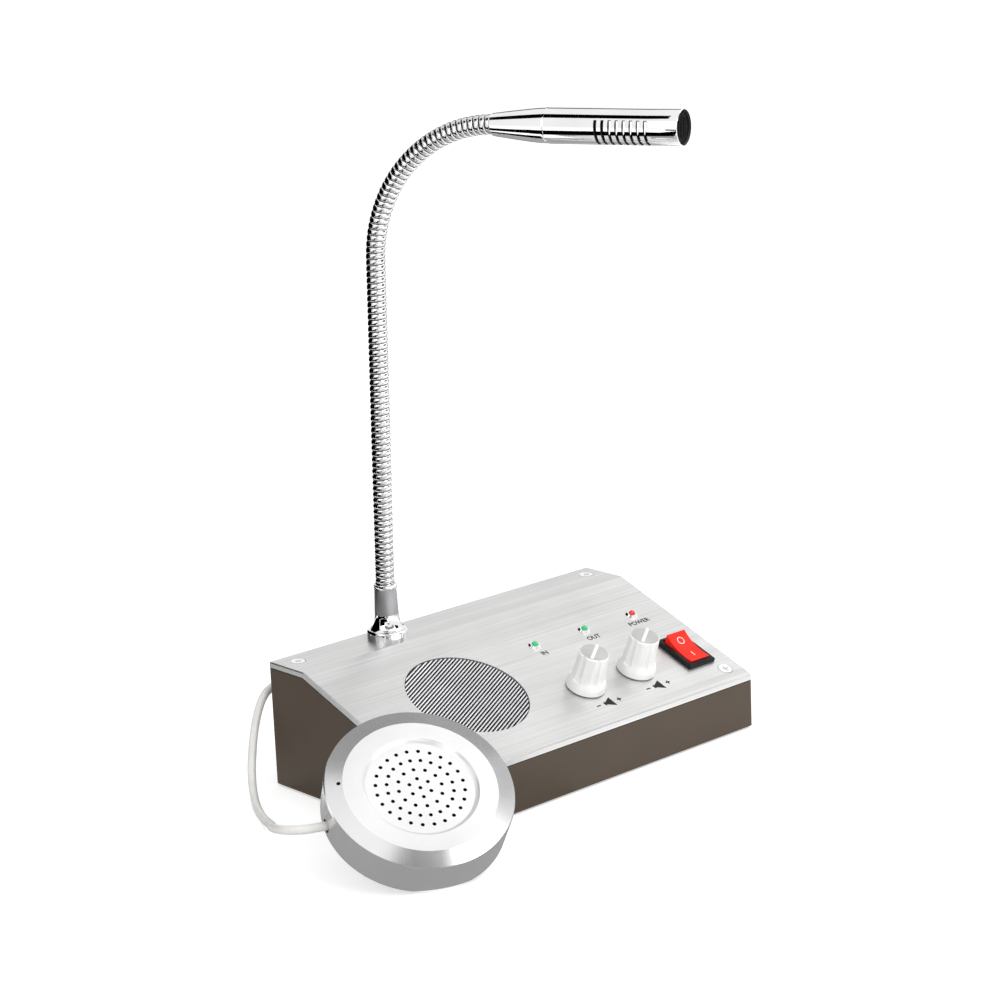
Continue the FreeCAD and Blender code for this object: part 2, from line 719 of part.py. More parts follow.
def make_speaker():
    place = on_slope("grilleX", "grilleDown")
    gasket = new_body("speaker_gasket", place)
    turned(gasket, "ring", [("grilleRadius - grilleRim", "speakerTop"), ("speakerRadius", "speakerTop"),
                            ("speakerRadius", "speakerTop + gasketThick"),
                            ("grilleRadius - grilleRim", "speakerTop + gasketThick")])
    basket = new_body("speaker_basket", place)
    turned(basket, "pressing", [
        ("grilleRadius - grilleRim", "speakerTop"), ("speakerRadius", "speakerTop"),
        ("speakerRadius", "speakerTop - basketThick"), ("grilleRadius", "speakerTop - basketThick"),
        ("magnetRadius", "magnetTop"), ("3", "magnetTop"), ("3", "magnetTop + basketThick"),
        ("magnetRadius - 0.5", "magnetTop + basketThick"),
        ("grilleRadius - basketThick", "speakerTop - 2 * basketThick"),
        ("grilleRadius - grilleRim", "speakerTop - 2 * basketThick")])
    windows = sketch_on(basket, "windowOutline", "XY_Plane", z="magnetTop + basketThick + 1")
    circle(windows, "3.2", "(grilleRadius + magnetRadius) / 2", "0")
    window = pocket(basket, "window", windows, "basketDepth", Midplane=True)
    around(basket, "windows", window, "6")
    cone = new_body("speaker_cone", place)
    low = "speakerTop - 2 * basketThick - coneDepth"
    turned(cone, "paper", [
        ("0", f"{low} + 2.5"), ("4", f"{low} + 1.8"), ("6.5", low),
        ("grilleRadius - grilleRim - 2", "speakerTop - basketThick"), ("grilleRadius - grilleRim", "speakerTop"),
        ("grilleRadius - grilleRim", "speakerTop - 2 * basketThick"),
        ("grilleRadius - grilleRim - 2", "speakerTop - 2 * basketThick"), ("7", f"{low} - 1"), ("7", "magnetTop + basketThick"),
        ("0", "magnetTop + basketThick")])
    magnet = new_body("speaker_magnet", place)
    turned(magnet, "ring", [("0", "magnetTop"), ("magnetRadius", "magnetTop"),
                            ("magnetRadius", "magnetTop - magnetDepth + 0.8"),
                            ("magnetRadius - 0.8", "magnetTop - magnetDepth"), ("0", "magnetTop - magnetDepth")])


# ---------------------------------------------------------------- board

def make_board():
    body = new_body("circuit_board", standing("boardX", "boardY", "caseFloor + postHeight"))
    outline = rectangle(sketch_on(body, "boardOutline", "XY_Plane"), "boardLength", "boardWidth")
    for sx in ("-", ""):
        for sy in ("-", ""):
            circle(outline, "screwRadius - 0.2", f"{sx}holeX", f"{sy}holeY")
    pad(body, "board", outline, "boardThick")

    screws = []
    for i, (x, y) in enumerate(board_holes()):
        head = doc.addObject("Part::Cylinder", f"boardHead{i}")
        bind(head, Radius="postRadius - 0.6", Height="1.4", Placement=standing(x, y, "boardTop"))
        shank = doc.addObject("Part::Cylinder", f"boardShank{i}")
        bind(shank, Radius="screwRadius - 0.4", Height="boardThick + postHeight - 1",
             Placement=standing(x, y, "caseFloor + 1"))
        screw = doc.addObject("Part::MultiFuse", f"boardScrew{i}")
        screw.Shapes = [head, shank]
        screws.append(screw)
    group = doc.addObject("Part::Compound", "boardScrews")
    group.Links = screws
    keep(group, "board_screws")

    parts = []
    for i, (x, y) in enumerate([(-18, 24), (-6, 24), (-20, 10)]):
        can = doc.addObject("Part::Cylinder", f"capacitor{i}")
        bind(can, Radius="capacitorRadius", Height="capacitorHeight",
             Placement=standing(f"boardX + {x} / 66 * boardLength", f"boardY + {y} / 70 * boardWidth", "boardTop"))
        parts.append(can)
    sink = doc.addObject("Part::Box", "sinkBlock")
    bind(sink, Length="heatSinkLength", Width="heatSinkWidth", Height="heatSinkHeight",
         Placement=standing("boardX + 8 / 66 * boardLength", "boardY + 22 / 70 * boardWidth", "boardTop"))
    gaps = []
    for i in range(4):
        gap = doc.addObject("Part::Box", f"sinkGap{i}")
        bind(gap, Length="finGap", Width="heatSinkWidth + 2", Height="heatSinkHeight",
             Placement=standing(f"boardX + 8 / 66 * boardLength + 1.6 + {i} * finPitch",
                                "boardY + 22 / 70 * boardWidth - 1", "boardTop + 2.5"))
        gaps.append(gap)
    combs = doc.addObject("Part::MultiFuse", "sinkGaps")
    combs.Shapes = gaps
    finned = doc.addObject("Part::Cut", "heatSink")
    finned.Base, finned.Tool = sink, combs
    chip = doc.addObject("Part::Box", "amplifierChip")
    bind(chip, Length="chipLength", Width="chipWidth", Height="chipHeight",
         Placement=standing("boardX - 4 / 66 * boardLength", "boardY + 4 / 70 * boardWidth", "boardTop"))
    header = doc.addObject("Part::Box", "wireHeader")
    bind(header, Length="headerLength", Width="headerWidth", Height="headerHeight",
         Placement=standing("boardX - 22 / 66 * boardLength", "boardY - 30 / 70 * boardWidth", "boardTop"))
    parts += [finned, chip, header]
    group = doc.addObject("Part::Compound", "boardParts")
    group.Links = parts
    keep(group, "board_parts")


# ---------------------------------------------------------------- status lights

def make_lights():
    for label, x in (("led_in", "lightInX"), ("led_out", "lightOutX"), ("led_power", "lightPowerX")):
        body = new_body(label, on_slope(x, "lightDown"))
        dome = [("lightRadius * cos({0})".format(a), "lightProud - lightRadius + lightRadius * sin({0})".format(a))
                for a in (0, 25, 50, 70)]
        turned(body, "lens", [("0", "-plateThick - 3"), ("lightRadius + 0.4", "-plateThick - 3"),
                              ("lightRadius + 0.4", "-plateThick - 2"), ("lightRadius", "-plateThick - 2")]
               + dome + [("0", "lightProud")])
        legs = sketch_on(body, "legOutline", "XY_Plane", z="-plateThick - 11")
        rectangle(legs, "0.5", "0.5", "-1.27 * 0.7", "0")
        rectangle(legs, "0.5", "0.5", "1.27 * 0.7", "0")
        pad(body, "legs", legs, "8.5")
    rims = []
    for i, x in enumerate(("lightInX", "lightOutX", "lightPowerX")):
        bead = doc.addObject("Part::Cone", f"rimBead{i}")
        bind(bead, Radius1="rimRadius", Radius2="rimRadius - 0.6", Height="rimProud",
             Placement=on_slope(x, "lightDown"))
        barrel = doc.addObject("Part::Cylinder", f"rimBarrel{i}")
        bind(barrel, Radius="rimBarrel", Height="plateThick + 1.9",
             Placement=on_slope(x, "lightDown", "-plateThick - 1.9"))
        bore = doc.addObject("Part::Cylinder", f"rimBore{i}")
        bind(bore, Radius="lightRadius", Height="plateThick + rimProud + 6",
             Placement=on_slope(x, "lightDown", "-plateThick - 3"))
        solid = doc.addObject("Part::MultiFuse", f"rimSolid{i}")
        solid.Shapes = [bead, barrel]
        rim = doc.addObject("Part::Cut", f"rim{i}")
        rim.Base, rim.Tool = solid, bore
        rims.append(rim)
    group = doc.addObject("Part::Compound", "lightRims")
    group.Links = rims
    keep(group, "led_bezels")


# ---------------------------------------------------------------- volume controls

def make_volume(side, x):
    place = on_slope(x, "knobDown")
    knob = new_body("knob_" + side, f"{place} * placement(vector(0; 0; 0); rotation(vector(0; 0; 1); pointerAngle))")
    turned(knob, "knobForm", [
        ("0", "knobHeight"), ("knobTopRadius - 0.5", "knobHeight"), ("knobTopRadius", "knobHeight - 0.5"),
        ("knobWaistRadius", "knobWaistHeight"), ("knobSkirtRadius", "knobSkirtHeight"),
        ("knobSkirtRadius", "knobLift"), ("knobHollowRadius", "knobLift"),
        ("knobHollowRadius", "bushProud + knobLift"), ("shaftRadius", "bushProud + knobLift"),
        ("shaftRadius", "shaftReach"), ("0", "shaftReach")])
    flute = sketch_on(knob, "fluteOutline", "XY_Plane", z="knobHeight + 1")
    circle(flute, "fluteRadius", "fluteOffset * cos(180 / fluteCount)", "fluteOffset * sin(180 / fluteCount)")
    groove = pocket(knob, "flute", flute, "knobHeight + 1 - bushProud - knobLift - fluteFloor")
    around(knob, "flutes", groove, "fluteCount")
    line = sketch_on(knob, "pointerOutline", "XY_Plane", z="knobHeight - 0.2")
    rectangle(line, "2 * knobTopRadius - 1.4", "pointerWidth")
    pad(knob, "pointer", line, "pointerProud + 0.2")

    shaft = new_body("shaft_" + side, place)
    turned(shaft, "spindle", [
        ("0", "-plateThick - potDepth + 1"), ("shaftRadius + 1.5", "-plateThick - potDepth + 1"),
        ("shaftRadius + 1.5", "-plateThick - potDepth + 2.5"), ("shaftRadius", "-plateThick - potDepth + 2.5"),
        ("shaftRadius", "shaftReach"), ("0", "shaftReach")])

    pot = new_body("pot_" + side, place)
    turned(pot, "can", [
        ("shaftRadius + shaftClear", "bushProud"), ("bushRadius", "bushProud"),
        ("bushRadius", "-plateThick"), ("potRadius", "-plateThick"), ("potRadius", "-plateThick - potDepth"),
        ("0", "-plateThick - potDepth"), ("0", "-plateThick - potDepth + 0.7"),
        ("shaftRadius + 1.8", "-plateThick - potDepth + 0.7"),
        ("shaftRadius + 1.8", "-plateThick - potDepth + 2.8"),
        ("shaftRadius + shaftClear", "-plateThick - potDepth + 2.8")])
    lugs = sketch_on(pot, "lugOutline", "XY_Plane", z="-plateThick - potDepth + 2.2")
    for i in (-1, 0, 1):
        rectangle(lugs, "1.6", "7", f"{i} * 5", "potRadius - 0.5")
    pad(pot, "lugs", lugs, "0.6")


def make_pot_nuts():
    nuts = []
    for i, x in enumerate(("knobInX", "knobOutX")):
        hexes = doc.addObject("Part::Prism", f"potNut{i}")
        hexes.Polygon = 6
        bind(hexes, Circumradius="potNutAcross / sqrt(3)", Height="potNutThick", Placement=on_slope(x, "knobDown"))
        bore = doc.addObject("Part::Cylinder", f"potNutBore{i}")
        bind(bore, Radius="bushRadius", Height="potNutThick + 2", Placement=on_slope(x, "knobDown", "-1"))
        nut = doc.addObject("Part::Cut", f"potNutCut{i}")
        nut.Base, nut.Tool = hexes, bore
        nuts.append(nut)
    group = doc.addObject("Part::Compound", "potNuts")
    group.Links = nuts
    keep(group, "pot_nuts")


# ---------------------------------------------------------------- power switch

def make_switch():
    place = on_slope("switchX", "switchDown")
    housing = new_body("switch_housing", place)
    frame = rectangle(sketch_on(housing, "frameOutline", "XY_Plane"), "switchBezelWidth", "switchBezelLength")
    pad(housing, "frame", frame, "switchBezelHeight")
    soften(housing, "Chamfer", "frameEdges", "0.5",
           lambda p, e: near(p.z, sized("switchBezelHeight")))
    box = rectangle(sketch_on(housing, "boxOutline", "XY_Plane", z="-switchDepth"),
                    "switchCutWidth - 0.3", "switchCutLength - 0.3")
    pad(housing, "box", box, "switchDepth")
    well = rectangle(sketch_on(housing, "wellOutline", "XY_Plane", z="switchBezelHeight"),
                     "rockerWidth + 2 * rockerGap", "rockerLength + 3 * rockerGap")
    pocket(housing, "well", well, "switchBezelHeight + switchDepth - 3")
    pins = sketch_on(housing, "pivotOutline", "YZ_Plane")
    circle(pins, "rockerPin + shaftClear", "0", "rockerPivot")
    pocket(housing, "pivotHoles", pins, "rockerWidth + 2 * rockerGap + 1", Midplane=True)

    tilt = "rotation(vector(1; 0; 0); rockerThrow / 2)"
    spin = f"placement(vector(0; 0; rockerPivot); {tilt}) * placement(vector(0; 0; -rockerPivot); rotation(vector(1; 0; 0); 0))"
    rocker = new_body("switch_rocker", f"{place} * {spin}")
    half = "rockerLength / 2"
    arc = [(f"{half} * {i} / 4", f"rockerPivot + rockerCrown - rockerDip * (1 - ({i} / 4) ^ 2)") for i in range(-4, 5)]
    side = polygon(sketch_on(rocker, "rockerOutline", "YZ_Plane"), arc + [
        (f"{half} - 0.9", "-1.2"), ("3", "-5"), ("-3", "-5"), (f"-{half} + 0.9", "-1.2")])
    pad(rocker, "key", side, "rockerWidth", Midplane=True)
    pivot = circle(sketch_on(rocker, "pinOutline", "YZ_Plane"), "rockerPin", "0", "rockerPivot")
    pad(rocker, "pivots", pivot, "rockerWidth + 2 * rockerGap + 0.8", Midplane=True)

    terminals = new_body("switch_terminals", place)
    terminals.AllowCompound = True
    blades = sketch_on(terminals, "bladeOutline", "XY_Plane", z="-switchDepth - terminalLength")
    for y in ("-5.5", "0", "5.5"):
        rectangle(blades, "terminalWidth", "terminalThick", "0", y)
    pad(terminals, "blades", blades, "terminalLength")


# ---------------------------------------------------------------- sockets in the back wall

def make_jacks():
    power = new_body("dc_jack", standing("powerJackX", "backY", "powerJackHeight"))
    block = rectangle(sketch_on(power, "blockOutline", "XZ_Plane", z="caseWall"), "14", "12.5")
    pad(power, "block", block, "powerJackDepth - caseWall")
    nose = circle(sketch_on(power, "noseOutline", "XZ_Plane", z="-0.6"), "powerJackNose")
    pad(power, "nose", nose, "caseWall + 1")
    bore = circle(sketch_on(power, "boreOutline", "XZ_Plane", z="-1"), "powerJackBore")
    pocket(power, "bore", bore, "10", Reversed=True)
    pin = circle(sketch_on(power, "pinOutline", "XZ_Plane", z="0.6"), "powerJackPin")
    pad(power, "centrePin", pin, "9.5")

    sound = new_body("speaker_jack", standing("soundJackX", "backY", "soundJackHeight"))
    block = rectangle(sketch_on(sound, "blockOutline", "XZ_Plane", z="caseWall"), "11", "9")
    pad(sound, "block", block, "soundJackDepth + 1.5 - caseWall")
    nose = circle(sketch_on(sound, "noseOutline", "XZ_Plane", z="-0.6"), "soundJackNose")
    pad(sound, "nose", nose, "caseWall + 1")
    bore = circle(sketch_on(sound, "boreOutline", "XZ_Plane", z="-1"), "soundJackBore")
    pocket(sound, "bore", bore, "soundJackDepth + 1", Reversed=True)


# ---------------------------------------------------------------- gooseneck

def make_neck_foot():
    flange = new_body("neck_flange", standing("neckX", "neckY", "plateTop"))
    turned(flange, "ring", [
        ("stemRadius", "0"), ("flangeRadius", "0"), ("flangeRadius", "flangeHeight - 1"),
        ("flangeRadius - 0.35", "flangeHeight - 0.35"), ("flangeRadius - 1", "flangeHeight"),
        ("stemRadius", "flangeHeight")])

    bell = new_body("neck_bell", standing("neckX", "neckY", "bellFoot"))
    flare = [(f"sleeveRadius + (bellRadius - sleeveRadius) * (1 - sin({a}))", f"bellHeight * (1 - cos({a}))")
             for a in (0, 15, 30, 45, 60, 75, 90)]
    bore = "neckRadius + shaftClear"
    turned(bell, "trumpet", flare + [
        ("sleeveTopRadius", "bellHeight + sleeveHeight"), (bore, "bellHeight + sleeveHeight"),
        (bore, "-stemLength - flangeHeight"), ("stemRadius", "-stemLength - flangeHeight"), ("stemRadius", "0")])

    ferrule = new_body("neck_ferrule", standing("neckX", "neckY", "neckFoot - ferruleHeight"))
    turned(ferrule, "ring", [
        (bore, "0"), ("ferruleRadius - 0.3", "0"), ("ferruleRadius", "0.3"), ("ferruleRadius", "ferruleHeight - 0.3"),
        ("ferruleRadius - 0.3", "ferruleHeight"), (bore, "ferruleHeight")])

    nut = new_body("neck_nut", standing("neckX", "neckY", "plateUnder - neckNutThick"))
    outline = hexagon(sketch_on(nut, "nutOutline", "XY_Plane"), "neckNutAcross")
    circle(outline, "stemRadius")
    pad(nut, "nut", outline, "neckNutThick")


def link_tools(name, place, next_place):
    """The ball that starts a link and the socket that ends it."""
    ball = doc.addObject("Part::Sphere", name + "Ball")
    bind(ball, Radius="neckRadius", Placement=place)
    socket = doc.addObject("Part::Sphere", name + "Socket")
    bind(socket, Radius="neckRadius + socketGap", Placement=next_place)
    return ball, socket


def straight_place(rise):
    """On the straight part of the neck, rise above its foot."""
    return along_neck(f"({rise}) * sin(neckLean)", f"neckFoot + ({rise}) * cos(neckLean)", "neckLean")


def bend_place(heading):
    return along_neck(f"bendReach + neckBendRadius * (cos(neckLean) - cos({heading}))",
                      f"bendHeight + neckBendRadius * (sin({heading}) - sin(neckLean))", heading)


def make_straight_link(number, start, end):
    """A straight length of the flexible tube between two joints; the first one runs down its foot."""
    name = f"neckLink{number}"
    ball, socket = link_tools(name, straight_place(start), straight_place(end))
    rod = doc.addObject("Part::Cylinder", name + "Rod")
    bind(rod, Radius="neckRadius", Height=f"({end}) - ({start}) - socketLip", Placement=straight_place(start))
    whole = doc.addObject("Part::MultiFuse", name + "Whole")
    whole.Shapes = [rod, ball]
    if number == 0:
        root = doc.addObject("Part::Cylinder", name + "Root")
        bind(root, Radius="neckRadius", Height="neckFoot - stemBottom", Placement=standing("neckX", "neckY", "stemBottom"))
        whole.Shapes = [rod, ball, root]
    link = doc.addObject("Part::Cut", name)
    link.Base, link.Tool = whole, socket
    keep(link, f"neck_link_{number}")


def make_bent_link(number, first, last):
    """A curved length of the flexible tube: an arc of a ring about the bend's centre."""
    name = f"neckLink{number}"
    start, end = (f"neckLean + linkTurn * {i}" for i in (first, first + 1))
    ball, socket = link_tools(name, bend_place(start), bend_place(end))
    lip = "socketLip / neckBendRadius * 180 / pi"
    ring = doc.addObject("Part::Torus", name + "Ring")
    centre = ("placement(vector(neckX + neckEndReach * cos(neckAzimuth); neckY + neckEndReach * sin(neckAzimuth);"
              " neckEndHeight - neckBendRadius); rotation(vector(0; 0; 1); neckAzimuth) *"
              " rotation(vector(1; 0; 0); -90))")
    sweep = f"({end}) - ({start})" + ("" if last else f" - {lip}")
    bind(ring, Radius1="neckBendRadius", Radius2="neckRadius", Angle3=sweep,
         Placement=f"{centre} * placement(vector(0; 0; 0); rotation(vector(0; 0; 1); 180 + {start}))")
    whole = doc.addObject("Part::MultiFuse", name + "Whole")
    whole.Shapes = [ring, ball]
    if last:
        doc.removeObject(socket.Name)
        tail = doc.addObject("Part::Cylinder", name + "Tail")
        bind(tail, Radius="neckRadius", Height="taperBore", Placement=bend_place("90"))
        whole.Shapes = [ring, ball, tail]
        keep(whole, f"neck_link_{number}")
        return
    link = doc.addObject("Part::Cut", name)
    link.Base, link.Tool = whole, socket
    keep(link, f"neck_link_{number}")


def make_neck():
    """Eleven links: one fixed in the foot, six up the straight part and four round the bend."""
    make_straight_link(0, "0", "firstJoint")
    for number in range(1, 7):
        make_straight_link(number, f"firstJoint + linkRise * {number - 1}", f"firstJoint + linkRise * {number}")
    for number in range(7, 11):
        make_bent_link(number, number - 7, number == 10)


# ---------------------------------------------------------------- microphone

def make_microphone():
    place = on_microphone()
    taper = new_body("mic_taper", place)
    turned(taper, "cone", [
        ("0", "taperBore"), ("neckRadius", "taperBore"), ("neckRadius", "0"), ("taperRadius", "0"),
        ("taperRadius + 0.15", "1.2"), ("micRadius - 0.75", "taperLength * 0.62"), ("micRadius - 0.15", "taperLength * 0.88"),
        ("micRadius - 0.05", "taperLength"), ("micRadius - micWall", "taperLength"),
        ("micRadius - micWall", "taperLength + 4"), ("0", "taperLength + 4")])

    barrel = new_body("mic_barrel", f"{place} * {standing(z='taperLength')}")
    turned(barrel, "tube", [
        ("micRadius - micWall", "0"), ("micRadius", "0"), ("micRadius", "micLength - 0.4"),
        ("micRadius - 0.35", "micLength"), ("micRadius - micWall", "micLength")])
    blocker = "micRadius * cos(micSlotSpan / 2)"
    slot = sketch_on(barrel, "slotOutline", "XZ_Plane")
    polygon(slot, [(blocker, "micSlotStart"), ("micRadius + 1", "micSlotStart"),
                   ("micRadius + 1", "micSlotStart + micSlotWidth"), (blocker, "micSlotStart + micSlotWidth")])
    cut = pocket(barrel, "slot", slot, "2 * micRadius + 2", Midplane=True)
    axis = next(f for f in barrel.Origin.OriginFeatures if f.Role == "Z_Axis")
    row = barrel.newObject("PartDesign::LinearPattern", "slots")
    row.Originals = [cut]
    row.Direction = (axis, [""])
    bind(row, Length="micSlotPitch * (micSlotCount - 1)", Occurrences="micSlotCount")
    barrel.Tip = row

    front = "taperLength + micLength - micCapSunk"
    cap = new_body("mic_end_cap", f"{place} * {standing(z=front + ' - micCapThick')}")
    disc = circle(sketch_on(cap, "discOutline", "XY_Plane"), "micRadius - micWall")
    pad(cap, "disc", disc, "micCapThick")
    slits = sketch_on(cap, "slitOutline", "XY_Plane", z="micCapThick + 1")
    for i in (-2, -1, 0, 1, 2):
        rectangle(slits, f"(micRadius - micWall) * {1.5 - 0.22 * abs(i)}", "micCapSlot", "0", f"{i} * 2.1 * micCapSlot")
    pocket(cap, "slits", slits, "micCapThick + 2")

    foam = new_body("mic_foam", f"{place} * {standing(z=front + ' - micCapThick - foamLength')}")
    plug = circle(sketch_on(foam, "foamOutline", "XY_Plane"), "micRadius - micWall")
    pad(foam, "foam", plug, "foamLength")

    capsule = new_body("mic_capsule", f"{place} * {standing(z=front + ' - micCapThick - foamLength - capsuleLength')}")
    turned(capsule, "can", [
        ("0", "0"), ("micRadius - micWall", "0"), ("micRadius - micWall", "1.5"), ("capsuleRadius", "1.5"),
        ("capsuleRadius", "capsuleLength - 0.4"), ("capsuleRadius - 0.4", "capsuleLength"), ("0", "capsuleLength")])


# ---------------------------------------------------------------- outer unit

def ring_place(out, turn):
    return f"({out}) * cos({turn})", f"({out}) * sin({turn})"


def post_turns():
    return [f"outerPostTurn + {120 * i}" for i in range(3)]


def make_outer_shell():
    body = new_body("outer_front_shell", on_outer_unit())
    bevelLow = "dishDepth - outerBevelDrop - 1.2"
    turned(body, "bowl", [
        ("0", "0"), ("dishFloorRadius", "0"), ("dishFloorRadius + 0.8", "dishDepth * 0.35"),
        ("dishRadius", "dishDepth"), ("outerFaceRadius", "dishDepth - 0.1"),
        ("outerRadius - 0.3", "dishDepth - outerBevelDrop"), ("outerRadius", bevelLow),
        ("outerRimRadius + 0.1", "-outerWallDepth + 0.6"), ("outerRimRadius - 0.5", "-outerWallDepth"),
        ("outerRimRadius - outerShell", "-outerWallDepth"), ("outerRadius - outerShell - 0.3", "-outerShell - 1"),
        ("outerFaceRadius", "dishDepth - outerShell - 0.4"), ("dishRadius", "dishDepth - outerShell - 0.4"),
        ("dishFloorRadius", "-outerShell"), ("0", "-outerShell")])
    posts = sketch_on(body, "postOutline", "XY_Plane", z="-outerWallDepth + outerLid")
    for turn in post_turns():
        circle(posts, "outerPostRadius", *ring_place("outerPostOut", turn))
    pad(body, "posts", posts, "outerWallDepth - outerLid - outerShell / 2")
    pilots = sketch_on(body, "postPilots", "XY_Plane", z="-outerWallDepth + outerLid")
    for turn in post_turns():
        circle(pilots, "outerScrewRadius", *ring_place("outerPostOut", turn))
    pocket(body, "pilots", pilots, "outerScrewLength", Reversed=True)
    micSeat = sketch_on(body, "micSeatOutline", "XY_Plane", z="-outerShell - outerMicDepth - 1")
    micAt = ring_place("outerMicOut - outerMicHole", "outerMicAngle")
    circle(micSeat, "outerMicRadius + 1", *micAt)
    circle(micSeat, "outerMicRadius", *micAt)
    pad(body, "micSeat", micSeat, "outerMicDepth + 1.4")

    centre = sketch_on(body, "centreHole", "XY_Plane", z="1")
    circle(centre, "outerHoleRadius")
    pocket(body, "hole0", centre, "outerShell + 2")
    counts = ("firstRingHoles", "secondRingHoles", "thirdRingHoles", "fourthRingHoles")
    for ring, count in enumerate(counts, start=1):
        outline = sketch_on(body, f"holeOutline{ring}", "XY_Plane", z="1")
        circle(outline, "outerHoleRadius", *ring_place(f"outerHolePitch * {ring}", "90"))
        hole = pocket(body, f"hole{ring}", outline, "outerShell + 2")
        around(body, f"holes{ring}", hole, count)
    mic = sketch_on(body, "micHole", "XY_Plane", z="dishDepth + 1")
    circle(mic, "outerMicHole", *ring_place("outerMicOut", "outerMicAngle"))
    pocket(body, "micHoleCut", mic, "outerShell + outerBevelDrop + 2")
    cordHole = body.newObject("PartDesign::SubtractiveCylinder", "cordHole")
    bind(cordHole, Radius="grommetRadius", Height="3 * outerShell",
         Placement=f"{cord_hole_place()} * {standing(z='-1.5 * outerShell')}")
    body.Tip = cordHole

    mic = new_body("outer_mic", on_outer_unit())
    can = circle(sketch_on(mic, "canOutline", "XY_Plane", z="-outerShell - outerMicDepth - 1"), "outerMicRadius", *micAt)
    pad(mic, "can", can, "outerMicDepth - 0.8")


def make_outer_back():
    body = new_body("outer_back_shell", on_outer_unit())
    lid = "outerRimRadius - outerShell - 0.1"
    floor = "-outerWallDepth - outerBaseStep"
    turned(body, "lid", [
        ("0", floor), ("outerBaseRadius - 0.5", floor), ("outerBaseRadius", f"{floor} + 0.5"),
        ("outerBaseRadius", "-outerWallDepth"), (lid, "-outerWallDepth"), (lid, "-outerWallDepth + outerLid"),
        ("outerBaseRadius - outerLid", "-outerWallDepth + outerLid"),
        ("outerBaseRadius - outerLid", f"{floor} + outerLid"), ("0", f"{floor} + outerLid")])
    holes = sketch_on(body, "screwHoles", "XY_Plane", z="-outerWallDepth + outerLid + 1")
    for turn in post_turns():
        circle(holes, "outerScrewRadius + 0.1", *ring_place("outerPostOut", turn))
    pocket(body, "screwHolesCut", holes, "outerLid + 2")

    screws = []
    for i, turn in enumerate(post_turns()):
        x, y = ring_place("outerPostOut", turn)
        head = doc.addObject("Part::Cylinder", f"outerHead{i}")
        bind(head, Radius="outerScrewHead", Height="outerScrewHeadDepth",
             Placement=f"{on_outer_unit()} * {standing(x, y, '-outerWallDepth - outerScrewHeadDepth')}")
        shank = doc.addObject("Part::Cylinder", f"outerShank{i}")
        bind(shank, Radius="outerScrewRadius", Height="outerScrewLength",
             Placement=f"{on_outer_unit()} * {standing(x, y, '-outerWallDepth')}")
        screw = doc.addObject("Part::MultiFuse", f"outerScrew{i}")
        screw.Shapes = [head, shank]
        screws.append(screw)
    group = doc.addObject("Part::Compound", "outerScrews")
    group.Links = screws
    keep(group, "outer_screws")

    padBody = new_body("outer_pad", on_outer_unit())
    foam = circle(sketch_on(padBody, "padOutline", "XY_Plane", z="-outerBack - outerPadThick"), "outerPadRadius")
    pad(padBody, "foam", foam, "outerPadThick")

    speaker = new_body("outer_speaker", on_outer_unit())
    turned(speaker, "driver", [
        ("0", "-outerShell - 4"), ("5", "-outerShell - 5"), ("outerConeRadius - 2", "-outerShell - 1.2"),
        ("outerConeRadius - 1.5", "-outerShell"), ("outerConeRadius", "-outerShell"),
        ("outerConeRadius", "-outerShell - 1.5"), ("outerMagnetRadius + 1", "-outerShell - 7"), ("0", "-outerShell - 7")])
    magnet = new_body("outer_magnet", on_outer_unit())
    turned(magnet, "ring", [("0", "-outerShell - 7"), ("outerMagnetRadius", "-outerShell - 7"),
                            ("outerMagnetRadius", "-outerShell - 10.5"), ("0", "-outerShell - 10.5")])

    grommet = new_body("outer_grommet", f"{on_outer_unit()} * {cord_hole_place()}")
    bush = circle(sketch_on(grommet, "bushOutline", "XY_Plane", z="-outerShell - 1.2"), "grommetRadius")
    pad(grommet, "bush", bush, "outerShell + 1.2")


def cord_hole_place():
    """In the outer unit's side wall, local Z out of the wall."""
    return ("placement(vector(outerRimRadius * cos(cordHoleTurn); outerRimRadius * sin(cordHoleTurn); -cordHoleDepth);"
            " rotation(vector(0; 0; 1); cordHoleTurn) * rotation(vector(0; 1; 0); 90))")


# ---------------------------------------------------------------- cord

# The cord's route between its two straight ends, chosen by hand: out of the outer unit's side, down to
# the counter beside the console, back along it and up behind the case's left corner to the plug. It is
# laid out beside a case 178 wide, 98.4 deep and 48.9 high, and goes with the case that is built.
cordRoute = [
    (-149.4, -41.4, 21.0), (-150.8, -35.4, 20.0), (-147.8, -25.8, 17.4), (-140.0, -14.8, 13.0), (-132.2, -4.4, 8.2),
    (-125.6, 5.8, 4.2), (-120.4, 15.8, 1.6), (-116.4, 24.2, 0.8), (-113.0, 31.0, 1.4), (-109.8, 36.6, 3.4),
    (-106.8, 41.4, 7.2), (-102.8, 46.2, 13.8), (-97.0, 50.8, 25.4), (-90.2, 54.0, 35.4),
]


